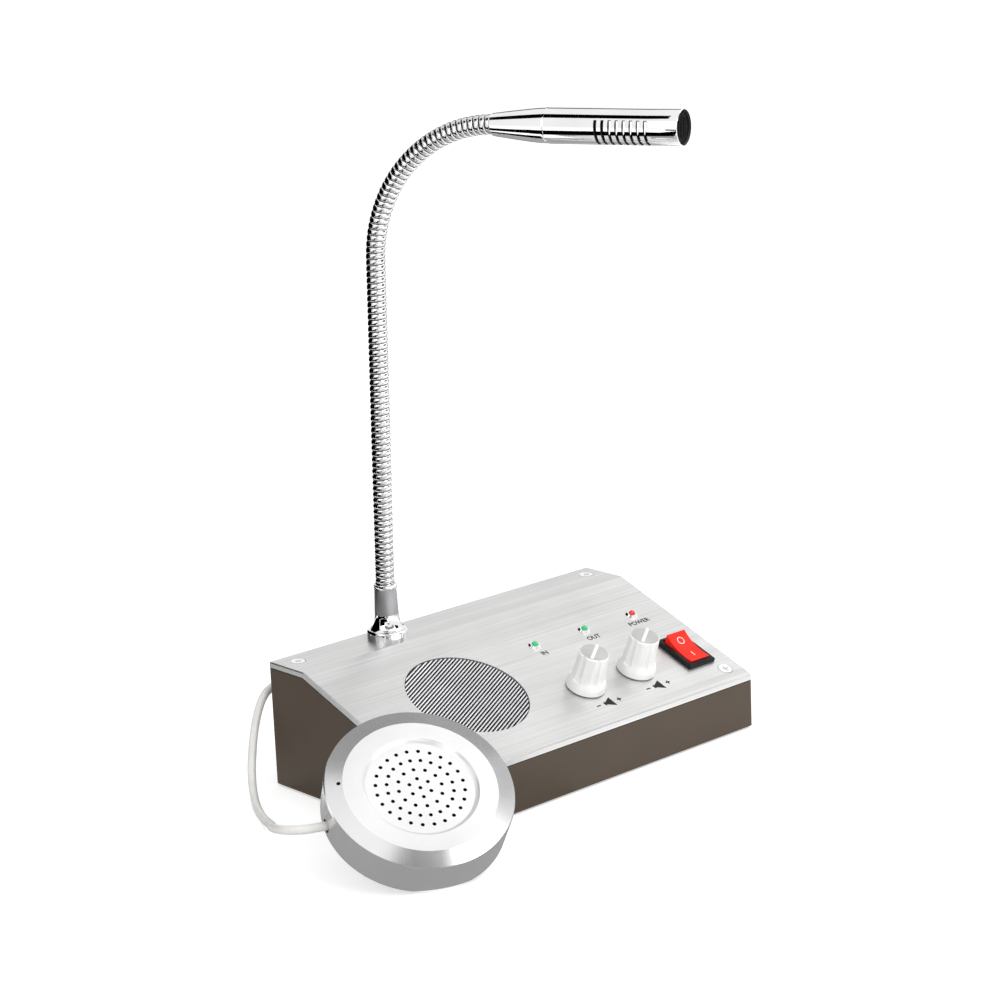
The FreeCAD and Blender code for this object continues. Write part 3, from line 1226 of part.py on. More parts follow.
def make_cord():
    hole = doc.getObject("outer_grommet").Placement
    start, away = (hole.multVec(FreeCAD.Vector(0, 0, out)) for out in (0, sized("cordLeave")))
    end = FreeCAD.Vector(sized("plugEndX") - sized("reliefLength"), sized("plugY"), sized("soundJackHeight"))
    arrive = end - FreeCAD.Vector(sized("cordArrive"), 0, 0)
    aside, deeper, larger = (sized("caseWidth") - 178) / 2, sized("caseDepth") / 98.4, sized("caseBackHeight") / 48.9
    route = [FreeCAD.Vector(-89 - aside + (x + 89) * larger, y * deeper, z * larger) for x, y, z in cordRoute]
    points = [start, away] + route + [arrive, end]
    print("cord ends at", start, away, arrive, end)
    edges, at = [], points[0]
    for before, here, after in zip(points, points[1:], points[2:]):
        inward, outward = (before - here), (after - here)
        turn = math.pi - inward.getAngle(outward)
        reach = 0.45 * min(inward.Length, outward.Length)
        print(f"cord turn {math.degrees(turn):5.1f} deg, radius {reach / math.tan(turn / 2):6.1f} mm")
        a = here + inward.normalize() * reach
        b = here + outward.normalize() * reach
        toMiddle = (a + b) * 0.5 - here
        radius = reach / math.tan(turn / 2)
        centre = here + toMiddle.normalize() * math.hypot(reach, radius)
        middle = centre + (here - centre).normalize() * radius
        edges += [Part.LineSegment(at, a).toShape(), Part.Arc(a, middle, b).toShape()]
        at = b
    edges.append(Part.LineSegment(at, points[-1]).toShape())
    path = Part.Wire(edges)
    ring = Part.Wire([Part.Circle(start, points[1] - start, sized("cordRadius")).toShape()])
    tube = path.makePipeShell([ring], True, False)
    expected = math.pi * sized("cordRadius") ** 2 * path.Length
    print(f"cord length {path.Length:.1f} mm, volume {tube.Volume:.0f} of {expected:.0f} mm3")
    cord = doc.addObject("Part::Feature", "outerCord")
    cord.Shape = tube
    keep(cord, "outer_cord")


def make_plug():
    """A right-angled plug: its pin in the socket and its handle along the back wall."""
    pinCollar = doc.addObject("Part::Cylinder", "plugCollar")
    back = "rotation(vector(1; 0; 0); -90)"
    bind(pinCollar, Radius="plugHandleRadius - 0.5", Height="plugStandoff + plugHandleRadius - 0.8",
         Placement=f"placement(vector(soundJackX; backY + 0.8; soundJackHeight); {back})")
    pin = doc.addObject("Part::Cylinder", "plugPin")
    bind(pin, Radius="plugPinRadius", Height="plugPinLength + 1",
         Placement=f"placement(vector(soundJackX; backY + 1.0 - plugPinLength; soundJackHeight); {back})")
    left = "rotation(vector(0; 1; 0); -90)"
    handle = doc.addObject("Part::Cylinder", "plugHandle")
    bind(handle, Radius="plugHandleRadius", Height="plugHandleLength",
         Placement=f"placement(vector(soundJackX + plugHandleRadius; plugY; soundJackHeight); {left})")
    relief = doc.addObject("Part::Cone", "plugRelief")
    bind(relief, Radius1="reliefRadius", Radius2="cordRadius + 0.2", Height="reliefLength",
         Placement=f"placement(vector(plugEndX; plugY; soundJackHeight); {left})")
    plug = doc.addObject("Part::MultiFuse", "cordPlug")
    plug.Shapes = [pinCollar, pin, handle, relief]
    keep(plug, "cord_plug")


# ---------------------------------------------------------------- the whole object

make_case()
make_feet()
make_top_panel()
make_panel_screws()
make_grille()
make_speaker()
make_board()
make_lights()
make_volume("in", "knobInX")
make_volume("out", "knobOutX")
make_pot_nuts()
make_switch()
make_jacks()
make_neck_foot()
make_neck()
make_microphone()
make_outer_shell()
make_outer_back()
doc.recompute()
make_cord()
make_plug()
doc.recompute()

for obj in doc.Objects:
    if {"Invalid", "Error"} & set(obj.State):
        raise RuntimeError(f"{obj.Label} did not recompute: {obj.State}")
for obj in subParts:
    if obj.Shape.isNull() or not obj.Shape.isValid():
        raise RuntimeError(f"{obj.Label} has no valid shape")

os.makedirs("parts", exist_ok=True)
for obj in subParts:
    obj.Shape.exportStep(f"parts/{obj.Label}.step")
print(f"{len(subParts)} sub-parts written")
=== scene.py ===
import math

import bmesh
import bpy
from mathutils import Euler, Matrix, Vector


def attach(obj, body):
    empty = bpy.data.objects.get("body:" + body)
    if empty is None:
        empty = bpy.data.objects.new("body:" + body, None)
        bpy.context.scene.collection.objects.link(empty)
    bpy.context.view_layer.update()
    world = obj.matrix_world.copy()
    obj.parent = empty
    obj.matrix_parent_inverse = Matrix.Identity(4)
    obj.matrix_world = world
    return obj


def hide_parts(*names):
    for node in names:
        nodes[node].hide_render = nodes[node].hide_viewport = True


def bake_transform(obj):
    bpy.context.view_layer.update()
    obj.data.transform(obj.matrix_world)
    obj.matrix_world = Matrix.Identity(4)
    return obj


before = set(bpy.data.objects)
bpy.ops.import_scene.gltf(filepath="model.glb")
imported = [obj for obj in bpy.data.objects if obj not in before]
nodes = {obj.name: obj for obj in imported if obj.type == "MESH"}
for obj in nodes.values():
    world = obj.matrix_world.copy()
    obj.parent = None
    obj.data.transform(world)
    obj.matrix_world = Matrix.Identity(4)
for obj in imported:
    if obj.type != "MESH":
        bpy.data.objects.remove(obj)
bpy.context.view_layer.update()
mm = 0.001


# working habits: one object at a time, everything else deselected

def only(obj):
    bpy.ops.object.select_all(action="DESELECT")
    obj.select_set(True)
    bpy.context.view_layer.objects.active = obj
    return obj


def editAll(obj):
    only(obj)
    bpy.ops.object.mode_set(mode="EDIT")
    bpy.ops.mesh.select_all(action="SELECT")


def applyModifier(obj, kind, **settings):
    only(obj)
    modifier = obj.modifiers.new(kind.lower(), kind)
    for name, value in settings.items():
        setattr(modifier, name, value)
    bpy.ops.object.modifier_apply(modifier=modifier.name)
    return obj


def joinAll(name, pieces):
    bpy.ops.object.select_all(action="DESELECT")
    for obj in pieces:
        obj.select_set(True)
    bpy.context.view_layer.objects.active = pieces[0]
    if len(pieces) > 1:
        bpy.ops.object.join()
    pieces[0].name = name
    return pieces[0]


def settle(obj, place):
    obj.data.transform(place)      # the place goes into the mesh, the object stays at the origin
    obj.data.update()
    return obj


welds = {"usual": 0.000004, "copied": 0.00001, "fine": 0.000002, "text": 0.000001}   # in metres


def cleanUp(obj, angle=35, weld="usual"):
    editAll(obj)
    bpy.ops.mesh.remove_doubles(threshold=welds[weld])
    bpy.ops.mesh.normals_make_consistent(inside=False)
    bpy.ops.object.mode_set(mode="OBJECT")
    bpy.ops.object.shade_smooth_by_angle(angle=math.radians(angle))
    return obj


def turned(name, outline, place=None, sides=96, filled=True, angle=35):
    # a ring drawn up through (radius, height) pairs in millimetres, as on a lathe
    radius, height = outline[0]
    bpy.ops.object.select_all(action="DESELECT")
    bpy.ops.mesh.primitive_circle_add(vertices=sides, radius=radius * mm, fill_type="NGON" if filled else "NOTHING")
    obj = bpy.context.object
    obj.name = name
    settle(obj, Matrix.Translation((0, 0, height * mm)))
    editAll(obj)
    for (before, low), (after, high) in zip(outline, outline[1:]):
        bpy.ops.mesh.extrude_region_move(TRANSFORM_OT_translate={"value": (0, 0, (high - low) * mm)})
        grow = after / before
        bpy.ops.transform.resize(value=(grow, grow, 1), center_override=(0, 0, high * mm))
    bpy.ops.object.mode_set(mode="OBJECT")
    cleanUp(obj, angle)
    return settle(obj, place) if place else obj


def smoothCopy(name, *copied, angle=30):
    # welded copies of CAD pieces that stand in for them
    pieces = []
    for node in copied:
        obj = bpy.data.objects.new(name, nodes[node].data.copy())
        bpy.context.scene.collection.objects.link(obj)
        pieces.append(obj)
    whole = only(joinAll(name, pieces))
    bpy.ops.mesh.customdata_custom_splitnormals_clear()
    whole.data.materials.clear()
    return cleanUp(whole, angle, "copied")


def ride(obj, body, standsFor=()):
    if body:
        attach(obj, body)
    if standsFor:
        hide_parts(*standsFor)
    return obj


def wear(obj, body, slot, *materials, standsFor=()):
    obj.data.materials.clear()
    for material in materials:
        obj.data.materials.append(material)
    return ride(obj, body, standsFor)


def paintFaces(obj, index, wanted):
    # the faces that match, by their centre and normal, take another of the object's materials
    for face in obj.data.polygons:
        if wanted(face.center, face.normal):
            face.material_index = index


def pickFaces(obj, wanted):
    # edit mode, with only the matching faces selected
    editAll(obj)
    bpy.ops.mesh.select_all(action="DESELECT")
    mesh = bmesh.from_edit_mesh(obj.data)
    for face in mesh.faces:
        if wanted(face.calc_center_median() / mm, face.normal):
            face.select = True
    bmesh.update_edit_mesh(obj.data)


# places on the console

console = {"plateTop": 51.5, "bendY": 26.9975, "slope": 20.7362, "counter": -1.0}


def standing(x, y, z):
    return Matrix.Translation(Vector((x, y, z)) * mm)


def onSlope(x, down, lift=0.0):
    tilt = Matrix.Rotation(math.radians(console["slope"]), 4, "X")
    return standing(x, console["bendY"], console["plateTop"]) @ tilt @ standing(0, -down, lift)


# camera

view = {"place": (-0.6966493, -0.7709035, 0.3744556), "angles": (75.62808, 2.36179, -42.51053), "lens": 95.58463,
        "sensor": 36, "near": 0.05}


def addCamera():
    lens = bpy.data.cameras.new("camera")
    lens.lens = view["lens"]
    lens.sensor_width = view["sensor"]
    lens.clip_start = view["near"]
    camera = bpy.data.objects.new("camera", lens)
    camera.location = view["place"]
    camera.rotation_euler = Euler([math.radians(a) for a in view["angles"]])
    bpy.context.scene.collection.objects.link(camera)
    bpy.context.scene.camera = camera


addCamera()


# effects that several finishes share

def newGroup(name, inputs, outputs):
    tree = bpy.data.node_groups.new(name, "ShaderNodeTree")
    for socket, default in inputs.items():
        kind = "NodeSocketVector" if default is None else "NodeSocketFloat"
        made = tree.interface.new_socket(name=socket, in_out="INPUT", socket_type=kind)
        if default is not None:
            made.default_value = default
    for socket in outputs:
        tree.interface.new_socket(name=socket, in_out="OUTPUT", socket_type="NodeSocketFloat")
    return tree, tree.nodes.new("NodeGroupInput"), tree.nodes.new("NodeGroupOutput")


def plus(tree, a, b, operation="ADD", clamp=False):
    node = tree.nodes.new("ShaderNodeMath")
    node.operation = operation
    node.use_clamp = clamp
    for socket, what in zip(node.inputs, (a, b)):
        if isinstance(what, (int, float)):
            socket.default_value = what
        else:
            tree.links.new(what, socket)
    return node.outputs[0]


def times(tree, a, b):
    return plus(tree, a, b, "MULTIPLY")


def noiseAt(tree, vector, scale, detail=3, stretch=None):
    if stretch:
        mapping = tree.nodes.new("ShaderNodeMapping")
        mapping.inputs["Scale"].default_value = stretch
        tree.links.new(vector, mapping.inputs["Vector"])
        vector = mapping.outputs["Vector"]
    noise = tree.nodes.new("ShaderNodeTexNoise")
    noise.inputs["Detail"].default_value = detail
    tree.links.new(vector, noise.inputs["Vector"])
    if isinstance(scale, (int, float)):
        noise.inputs["Scale"].default_value = scale
    else:
        tree.links.new(scale, noise.inputs["Scale"])
    return noise.outputs["Fac"]


grainMix = {"patch": 0.7, "grain": 0.3, "wander": 2.0}
brushMix = {   # share in the lines, and how far each noise is drawn out
    "long": (0.4, (9, 1100, 1100)), "short": (0.3, (40, 3000, 3000)), "wide": (0.3, (4, 160, 160)),
    "lines": 0.8, "smudge": 0.2, "wander": 3.0,
}
half = 0.5      # the middle of a noise


def makeGrainGroup():
    # fine grain: a patchy tint, a roughness that wanders with it, and a small height
    tree, enter, leave = newGroup("surfaceGrain", {
        "Place": None, "Patch Scale": 40.0, "Grain Scale": 2500.0, "Roughness": 0.4, "Spread": 0.1,
    }, ["Tint", "Roughness", "Height"])
    patch = noiseAt(tree, enter.outputs["Place"], enter.outputs["Patch Scale"], 4)
    grain = noiseAt(tree, enter.outputs["Place"], enter.outputs["Grain Scale"], 2)
    tint = plus(tree, times(tree, patch, grainMix["patch"]), times(tree, grain, grainMix["grain"]))
    wander = times(tree, plus(tree, tint, half, "SUBTRACT"), enter.outputs["Spread"])
    rough = plus(tree, enter.outputs["Roughness"], times(tree, wander, grainMix["wander"]), clamp=True)
    tree.links.new(tint, leave.inputs["Tint"])
    tree.links.new(rough, leave.inputs["Roughness"])
    tree.links.new(grain, leave.inputs["Height"])


def makeBrushGroup():
    # brushed metal: hair lines of three lengths, all along X
    tree, enter, leave = newGroup("brushLines", {
        "Place": None, "Patch Scale": 40.0, "Grain Scale": 2600.0, "Roughness": 0.3, "Spread": 0.1,
    }, ["Tint", "Roughness", "Height"])
    long, short, wide = (times(tree, noiseAt(tree, enter.outputs["Place"], 1.0, 3, stretch), share)
                         for share, stretch in (brushMix[kind] for kind in ("long", "short", "wide")))
    smudge = noiseAt(tree, enter.outputs["Place"], enter.outputs["Patch Scale"], 4)
    lines = plus(tree, long, plus(tree, short, wide))
    tint = plus(tree, times(tree, lines, brushMix["lines"]), times(tree, smudge, brushMix["smudge"]))
    wander = times(tree, plus(tree, tint, half, "SUBTRACT"), enter.outputs["Spread"])
    rough = plus(tree, enter.outputs["Roughness"], times(tree, wander, brushMix["wander"]), clamp=True)
    tree.links.new(tint, leave.inputs["Tint"])
    tree.links.new(rough, leave.inputs["Roughness"])
    tree.links.new(lines, leave.inputs["Height"])


shared = {"tintFrom": 0.36, "tintTo": 0.64, "softDepth": 0.002, "bumpStrength": 0.4}   # for every finish
sockets = {   # what a finish may set: its key, and the value when it is left out
    "Metallic": ("metallic", 0.0), "IOR": ("ior", 1.5), "Coat Weight": ("coat", 0.0),
    "Coat Roughness": ("coatRough", 0.1), "Subsurface Weight": ("soft", 0.0),
}
effectSockets = {"Patch Scale": "patch", "Grain Scale": "grain", "Roughness": "rough", "Spread": "spread"}


def makeFinish(name, look):
    # two colours mixed by the shared effect, with its roughness and its height
    material = bpy.data.materials.new(name)
    material.use_nodes = True
    tree = material.node_tree
    shader = tree.nodes["Principled BSDF"]
    for socket, (key, usual) in sockets.items():
        shader.inputs[socket].default_value = look.get(key, usual)
    shader.inputs["Subsurface Scale"].default_value = shared["softDepth"]
    place = tree.nodes.new("ShaderNodeTexCoord")
    effect = tree.nodes.new("ShaderNodeGroup")
    effect.node_tree = bpy.data.node_groups[look.get("effect", "surfaceGrain")]
    tree.links.new(place.outputs["Object"], effect.inputs["Place"])
    for socket, key in effectSockets.items():
        if key in look:
            effect.inputs[socket].default_value = look[key]
    contrast = tree.nodes.new("ShaderNodeMapRange")
    contrast.inputs["From Min"].default_value = shared["tintFrom"]
    contrast.inputs["From Max"].default_value = shared["tintTo"]
    mix = tree.nodes.new("ShaderNodeMix")
    mix.data_type = "RGBA"
    mix.inputs["A"].default_value = (*look["colour"], 1)
    mix.inputs["B"].default_value = (*look["second"], 1)
    tree.links.new(effect.outputs["Tint"], contrast.inputs["Value"])
    tree.links.new(contrast.outputs["Result"], mix.inputs["Factor"])
    tree.links.new(mix.outputs["Result"], shader.inputs["Base Color"])
    tree.links.new(effect.outputs["Roughness"], shader.inputs["Roughness"])
    if "glow" in look:
        tree.links.new(mix.outputs["Result"], shader.inputs["Emission Color"])
        shader.inputs["Emission Strength"].default_value = look["glow"]
    if "bump" in look:
        bump = tree.nodes.new("ShaderNodeBump")
        bump.inputs["Strength"].default_value = look.get("bumpStrength", shared["bumpStrength"])
        bump.inputs["Distance"].default_value = look["bump"]
        tree.links.new(effect.outputs["Height"], bump.inputs["Height"])
        tree.links.new(bump.outputs["Normal"], shader.inputs["Normal"])
    return material


finishes = {
    "casePaint": {"colour": (0.078, 0.058, 0.041), "second": (0.090, 0.068, 0.049), "patch": 30, "grain": 3200,
                  "rough": 0.55, "spread": 0.08, "bump": 0.00006, "ior": 1.35},
    "brushedPlate": {"effect": "brushLines", "colour": (0.56, 0.56, 0.555), "second": (0.74, 0.74, 0.735),
                     "patch": 25, "rough": 0.36, "spread": 0.12, "bump": 0.00002, "metallic": 0.9},
    "brightChrome": {"colour": (0.84, 0.84, 0.85), "second": (0.90, 0.90, 0.90), "patch": 60, "grain": 1500,
                     "rough": 0.05, "spread": 0.03, "metallic": 1.0},
    "neckChrome": {"colour": (0.64, 0.64, 0.65), "second": (0.74, 0.74, 0.74), "patch": 60, "grain": 1500,
                   "rough": 0.13, "spread": 0.03, "metallic": 1.0},
    # painted shade: the gooseneck's core is near black so the grooves between the wire's turns read as shade
    "neckGrooveShade": {"colour": (0.03, 0.03, 0.03), "second": (0.07, 0.07, 0.07), "patch": 200, "grain": 2500,
                   "rough": 0.45, "spread": 0.1, "metallic": 0.9},
    "outerFace": {"colour": (0.80, 0.80, 0.80), "second": (0.85, 0.85, 0.85), "patch": 50, "grain": 6000,
                  "rough": 0.30, "spread": 0.06, "bump": 0.00001, "metallic": 0.6},
    "outerSide": {"colour": (0.78, 0.78, 0.78), "second": (0.84, 0.84, 0.84), "patch": 50, "grain": 6000,
                  "rough": 0.22, "spread": 0.06, "bump": 0.00001, "metallic": 0.95},
    "knobSilver": {"colour": (0.90, 0.90, 0.89), "second": (0.95, 0.95, 0.94), "patch": 80, "grain": 6000,
                   "rough": 0.30, "spread": 0.08, "metallic": 0.15},
    "knobTop": {"colour": (0.50, 0.50, 0.49), "second": (0.58, 0.58, 0.57), "patch": 120, "grain": 6000,
                "rough": 0.30, "spread": 0.1, "metallic": 0.9},
    # painted shadow: a thin dark grey ring around the outer unit's dish, standing for a shadow gap at its edge
    "shadowLineGrey": {"colour": (0.10, 0.10, 0.10), "second": (0.20, 0.20, 0.20), "patch": 120, "grain": 3000,
                 "rough": 0.4, "spread": 0.1, "metallic": 0.6},
    "satinChrome": {"colour": (0.36, 0.36, 0.37), "second": (0.44, 0.44, 0.45), "patch": 150, "grain": 4000,
                    "rough": 0.42, "spread": 0.06, "metallic": 1.0},
    "screwSteel": {"colour": (0.62, 0.62, 0.62), "second": (0.74, 0.74, 0.74), "patch": 300, "grain": 4000,
                   "rough": 0.25, "spread": 0.1, "metallic": 1.0},
    "screwBright": {"colour": (0.88, 0.88, 0.88), "second": (0.95, 0.95, 0.95), "patch": 300, "grain": 4000,
                    "rough": 0.30, "spread": 0.1, "metallic": 0.8},
    "grilleSteel": {"colour": (0.66, 0.66, 0.68), "second": (0.76, 0.76, 0.78), "patch": 100, "grain": 5000,
                    "rough": 0.3, "spread": 0.1, "metallic": 0.9},
    "greenLens": {"colour": (0.03, 0.42, 0.15), "second": (0.05, 0.55, 0.22), "patch": 400, "grain": 3000,
                  "rough": 0.12, "spread": 0.03, "coat": 0.5, "glow": 0.1},
    "redLens": {"colour": (0.62, 0.02, 0.02), "second": (0.75, 0.04, 0.03), "patch": 400, "grain": 3000,
                "rough": 0.12, "spread": 0.03, "coat": 0.5, "glow": 0.1},
    "rockerRed": {"colour": (0.78, 0.016, 0.008), "second": (0.88, 0.026, 0.012), "patch": 120, "grain": 3000,
                  "rough": 0.38, "spread": 0.04, "ior": 1.22, "glow": 0.08},
    # near black: the real black plastic parts, and painted shade inside openings in the microphone barrel, behind the
    # loudspeaker bars and in the outer unit's holes
    "blackPlasticAndShade": {"colour": (0.006, 0.006, 0.006), "second": (0.012, 0.012, 0.012), "patch": 90, "grain": 3500,
                     "rough": 0.50, "spread": 0.1, "bump": 0.00005, "ior": 1.3},
    "capMesh": {"colour": (0.004, 0.004, 0.004), "second": (0.010, 0.010, 0.010), "patch": 90, "grain": 3500,
                "rough": 0.60, "spread": 0.1, "bump": 0.00005, "ior": 1.2},
    "softRubber": {"colour": (0.012, 0.012, 0.012), "second": (0.025, 0.025, 0.025), "patch": 70, "grain": 2500,
                   "rough": 0.7, "spread": 0.1, "bump": 0.0001},
    "cordJacket": {"colour": (0.76, 0.76, 0.74), "second": (0.84, 0.84, 0.82), "patch": 120, "grain": 2200,
                   "rough": 0.32, "spread": 0.08, "soft": 0.3, "coat": 0.2},
    "boardGreen": {"colour": (0.01, 0.09, 0.03), "second": (0.015, 0.13, 0.05), "patch": 200, "grain": 1500,
                   "rough": 0.3, "spread": 0.08, "coat": 0.3},
    "magnetIron": {"colour": (0.05, 0.05, 0.055), "second": (0.09, 0.09, 0.095), "patch": 90, "grain": 1800,
                   "rough": 0.5, "spread": 0.12, "metallic": 0.8},
    "conePaper": {"colour": (0.016, 0.016, 0.016), "second": (0.035, 0.035, 0.035), "patch": 150, "grain": 1500,
                  "rough": 0.85, "spread": 0.1, "bump": 0.0002},
    "openFoam": {"colour": (0.010, 0.010, 0.010), "second": (0.030, 0.030, 0.030), "patch": 500, "grain": 1400,
                 "rough": 0.95, "spread": 0.05, "bump": 0.0004, "bumpStrength": 0.8},
    "brassContact": {"colour": (0.72, 0.52, 0.20), "second": (0.82, 0.62, 0.28), "patch": 200, "grain": 2500,
                     "rough": 0.3, "spread": 0.1, "metallic": 1.0},
    "printInk": {"colour": (0.010, 0.010, 0.010), "second": (0.020, 0.020, 0.020), "patch": 500, "grain": 5000,
                 "rough": 0.6, "spread": 0.1, "ior": 1.3},
    "whiteInk": {"colour": (0.80, 0.80, 0.80), "second": (0.88, 0.88, 0.88), "patch": 500, "grain": 5000,
                 "rough": 0.45, "spread": 0.1},
}

makeGrainGroup()
makeBrushGroup()
finish = {name: makeFinish(name, look) for name, look in finishes.items()}

nodeFinish = {
    "casePaint": ["case_shell"],
    "brushedPlate": ["top_panel"],
    "screwBright": ["panel_screws"],
    "screwSteel": ["board_screws", "shaft_in", "shaft_out", "pot_in", "pot_out",
                   "pot_nuts", "neck_nut", "mic_capsule", "outer_mic", "outer_screws"],
    "grilleSteel": ["speaker_grille"],
    "openFoam": ["speaker_gasket", "mic_foam", "outer_pad"],
    "conePaper": ["speaker_cone", "outer_speaker"],
    "magnetIron": ["speaker_basket", "speaker_magnet", "outer_magnet"],
    "boardGreen": ["circuit_board"],
    "blackPlasticAndShade": ["board_parts", "switch_housing", "dc_jack", "speaker_jack"],
    "capMesh": ["mic_end_cap"],
    "greenLens": ["led_in", "led_out"],
    "redLens": ["led_power"],
    "brightChrome": ["led_bezels"],
    "neckChrome": ["neck_link_10"],
    "rockerRed": ["switch_rocker"],
    "brassContact": ["switch_terminals"],
    "outerSide": ["outer_back_shell"],
    "softRubber": ["rubber_feet", "outer_grommet", "cord_plug"],
}
for material, names in nodeFinish.items():
    for name in names:
        nodes[name].data.materials.clear()
        nodes[name].data.materials.append(finish[material])
print("finishes made")


# cord of the outer unit: from the plug in the back wall, down to the counter and round to the unit

cord = {
    "diameter": 3.4,
    "length": 0.158,
    "end": (-76.4, 55.0, 39.2),
    "arrive": (-82.9, 55.0, 39.2),
    "route": [
        (-90.2, 54.0, 35.4), (-97.0, 50.8, 25.4), (-102.8, 46.2, 13.8), (-106.8, 41.4, 7.2), (-109.8, 36.6, 3.4),
        (-113.0, 31.0, 1.4), (-116.4, 24.2, 0.8), (-120.4, 15.8, 1.6), (-125.6, 5.8, 4.2), (-132.2, -4.4, 8.2),
        (-140.0, -14.8, 13.0), (-147.8, -25.8, 17.4), (-150.8, -35.4, 20.0), (-149.4, -41.4, 21.0),
    ],
    "leave": (-145.4770, -46.1871, 21.6239),
    "start": (-139.8205, -48.1846, 21.7422),
    "order": 3,
    "resolution": 10,
    "roundness": 6,
    "lifted": ((-85, 55, 0), (-150, -38, 0)),   # still before the first place, raised with the unit after the second
}


def makeCord():
    points = [cord["end"], cord["arrive"], *cord["route"], cord["leave"], cord["start"]]
    curve = bpy.data.curves.new("outerCord", "CURVE")
    curve.dimensions = "3D"
    spline = curve.splines.new("NURBS")
    spline.points.add(len(points) - 1)
    for spot, point in zip(points, spline.points):
        point.co = (*[c * mm for c in spot], 1)
    spline.order_u = cord["order"]
    spline.use_endpoint_u = True
    spline.resolution_u = cord["resolution"]
    obj = bpy.data.objects.new("outerCord", curve)
    bpy.context.scene.collection.objects.link(obj)
    only(obj)
    bpy.ops.object.convert(target="MESH", keep_original=True)
    line = bpy.context.object      # the bare middle line, made as a mesh and removed
    bpy.data.objects.remove(line)
    only(obj)
    curve.bevel_depth = cord["diameter"] / 2 * mm
    curve.bevel_resolution = cord["roundness"]
    curve.use_fill_caps = True
    bpy.ops.object.convert(target="MESH")
    wear(obj, None, "cord_jacket", finish["cordJacket"], standsFor=["outer_cord"])
    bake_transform(obj)


makeCord()
print("cord made")


# gooseneck: a wire wound on a core painted near black for the shade in its grooves, bent along the tube's line and
# cut into ten lengths

neck = {
    "foot": (-35.5, 38.3, 74.3),
    "azimuth": -70.0,
    "lean": 1.6,
    "straight": 134.0,
    "bendRadius": 55.5,
    "pitch": 2.44,
    "lengths": (-1, 7, 16, 24, 33, 42, 51, 59, 68, 77, 91),   # turns counted from the foot
    "wireRadius": 3.65,
    "wireHalf": (0.30, 1.06),
    "coreRadius": 3.56,
    "steps": 28,
    "wireSides": 12,
    "angle": 60,
    "tip": 208,               # where the last length's blend ends, inside the microphone
    "lineStep": 6.7,
    "lineSteps": 20,
    "arcSteps": 72,
    "lineSpare": 12,
}


def neckPoint(along):
    # a point on the tube's line, that far from its foot
    lean, turn = math.radians(neck["lean"]), math.radians(neck["azimuth"])
    straight, bend = neck["straight"], neck["bendRadius"]
    heading = min(lean + max(along - straight, 0) / bend, math.pi / 2)
    over = max(along - straight - bend * (math.pi / 2 - lean), 0)
    reach = min(along, straight) * math.sin(lean) + bend * (math.cos(lean) - math.cos(heading)) + over
    rise = min(along, straight) * math.cos(lean) + bend * (math.sin(heading) - math.sin(lean))
    x, y, z = neck["foot"]
    return Vector((x + reach * math.cos(turn), y + reach * math.sin(turn), z + rise)) * mm


def makeNeckLine():
    curve = bpy.data.curves.new("neckLine", "CURVE")
    curve.dimensions = "3D"
    curve.twist_mode = "MINIMUM"
    spline = curve.splines.new("POLY")
    arc = neck["bendRadius"] * math.radians(90 - neck["lean"])
    marks = [i * neck["lineStep"] for i in range(neck["lineSteps"])]
    marks += [neck["straight"] + arc * i / neck["arcSteps"] for i in range(neck["arcSteps"] + 1)]
    marks.append(neck["straight"] + arc + neck["lineSpare"])
    spline.points.add(len(marks) - 1)
    for mark, point in zip(marks, spline.points):
        point.co = (*neckPoint(mark), 1)
    obj = bpy.data.objects.new("neckLine", curve)
    bpy.context.scene.collection.objects.link(obj)
    return obj


def makeGooseneck():
    line = makeNeckLine()
    pitch, (thick, tall) = neck["pitch"], neck["wireHalf"]
    for number, (first, last) in enumerate(zip(neck["lengths"], neck["lengths"][1:]), start=1):
        bpy.ops.object.select_all(action="DESELECT")
        bpy.ops.mesh.primitive_circle_add(vertices=neck["wireSides"], radius=mm, rotation=(math.pi / 2, 0, 0))
        coil = bpy.context.object
        coil.scale = (thick, tall, 1)
        bpy.ops.object.transform_apply(location=False, rotation=True, scale=True)
        settle(coil, standing(neck["wireRadius"], 0, first * pitch))
        applyModifier(coil, "SCREW", axis="Z", steps=neck["steps"], render_steps=neck["steps"],
                      iterations=last - first, screw_offset=pitch * mm)
        cleanUp(coil, neck["angle"], "fine")
        wireFaces = len(coil.data.polygons)
        rings = [(neck["coreRadius"], h * pitch) for h in range(first, last + 1)]
        core = turned("neckCore", rings, sides=neck["steps"], filled=False, angle=neck["angle"])
        coil = joinAll(f"neckCoil{number}", [coil, core])
        applyModifier(coil, "CURVE", object=line, deform_axis="POS_Z")
        wear(coil, None, "neck_chrome", finish["neckChrome"], finish["neckGrooveShade"])
        # the core's faces take the painted groove shade
        for face in coil.data.polygons[wireFaces:]:
            face.material_index = 1
        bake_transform(coil)
        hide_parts(*([f"neck_link_{number}"] if number > 1 else ["neck_link_0", "neck_link_1"]))
    bpy.data.objects.remove(line)


makeGooseneck()
print("gooseneck made")


# foot of the gooseneck

neckFoot = {   # each piece has its height on the console and its outline
    "satin": (61.5, 72.2),
    "sides": 128,
    "angle": 30,
    "neck_flange": (51.5, [(4.9, 0), (8.5, 0), (8.5, 2.5), (8.42, 2.9), (8.15, 3.25), (7.75, 3.5), (7.2, 3.6),
                           (4.9, 3.6)]),
    "neck_bell": (55.1, [(7.6, 0), (6.91, 0.24), (6.28, 0.94), (5.73, 2.05), (5.31, 3.5), (5.04, 5.19), (4.96, 6.4),
                         (4.93, 7.6), (4.56, 17.0), (4.5, 17.15), (4.3, 17.2), (4.05, 17.2)]),
    "neck_ferrule": (72.3, [(4.05, 0), (4.45, 0), (4.7, 0.1), (4.8, 0.35), (4.8, 1.65), (4.7, 1.9), (4.45, 2.0),
                            (4.05, 2.0)]),
}


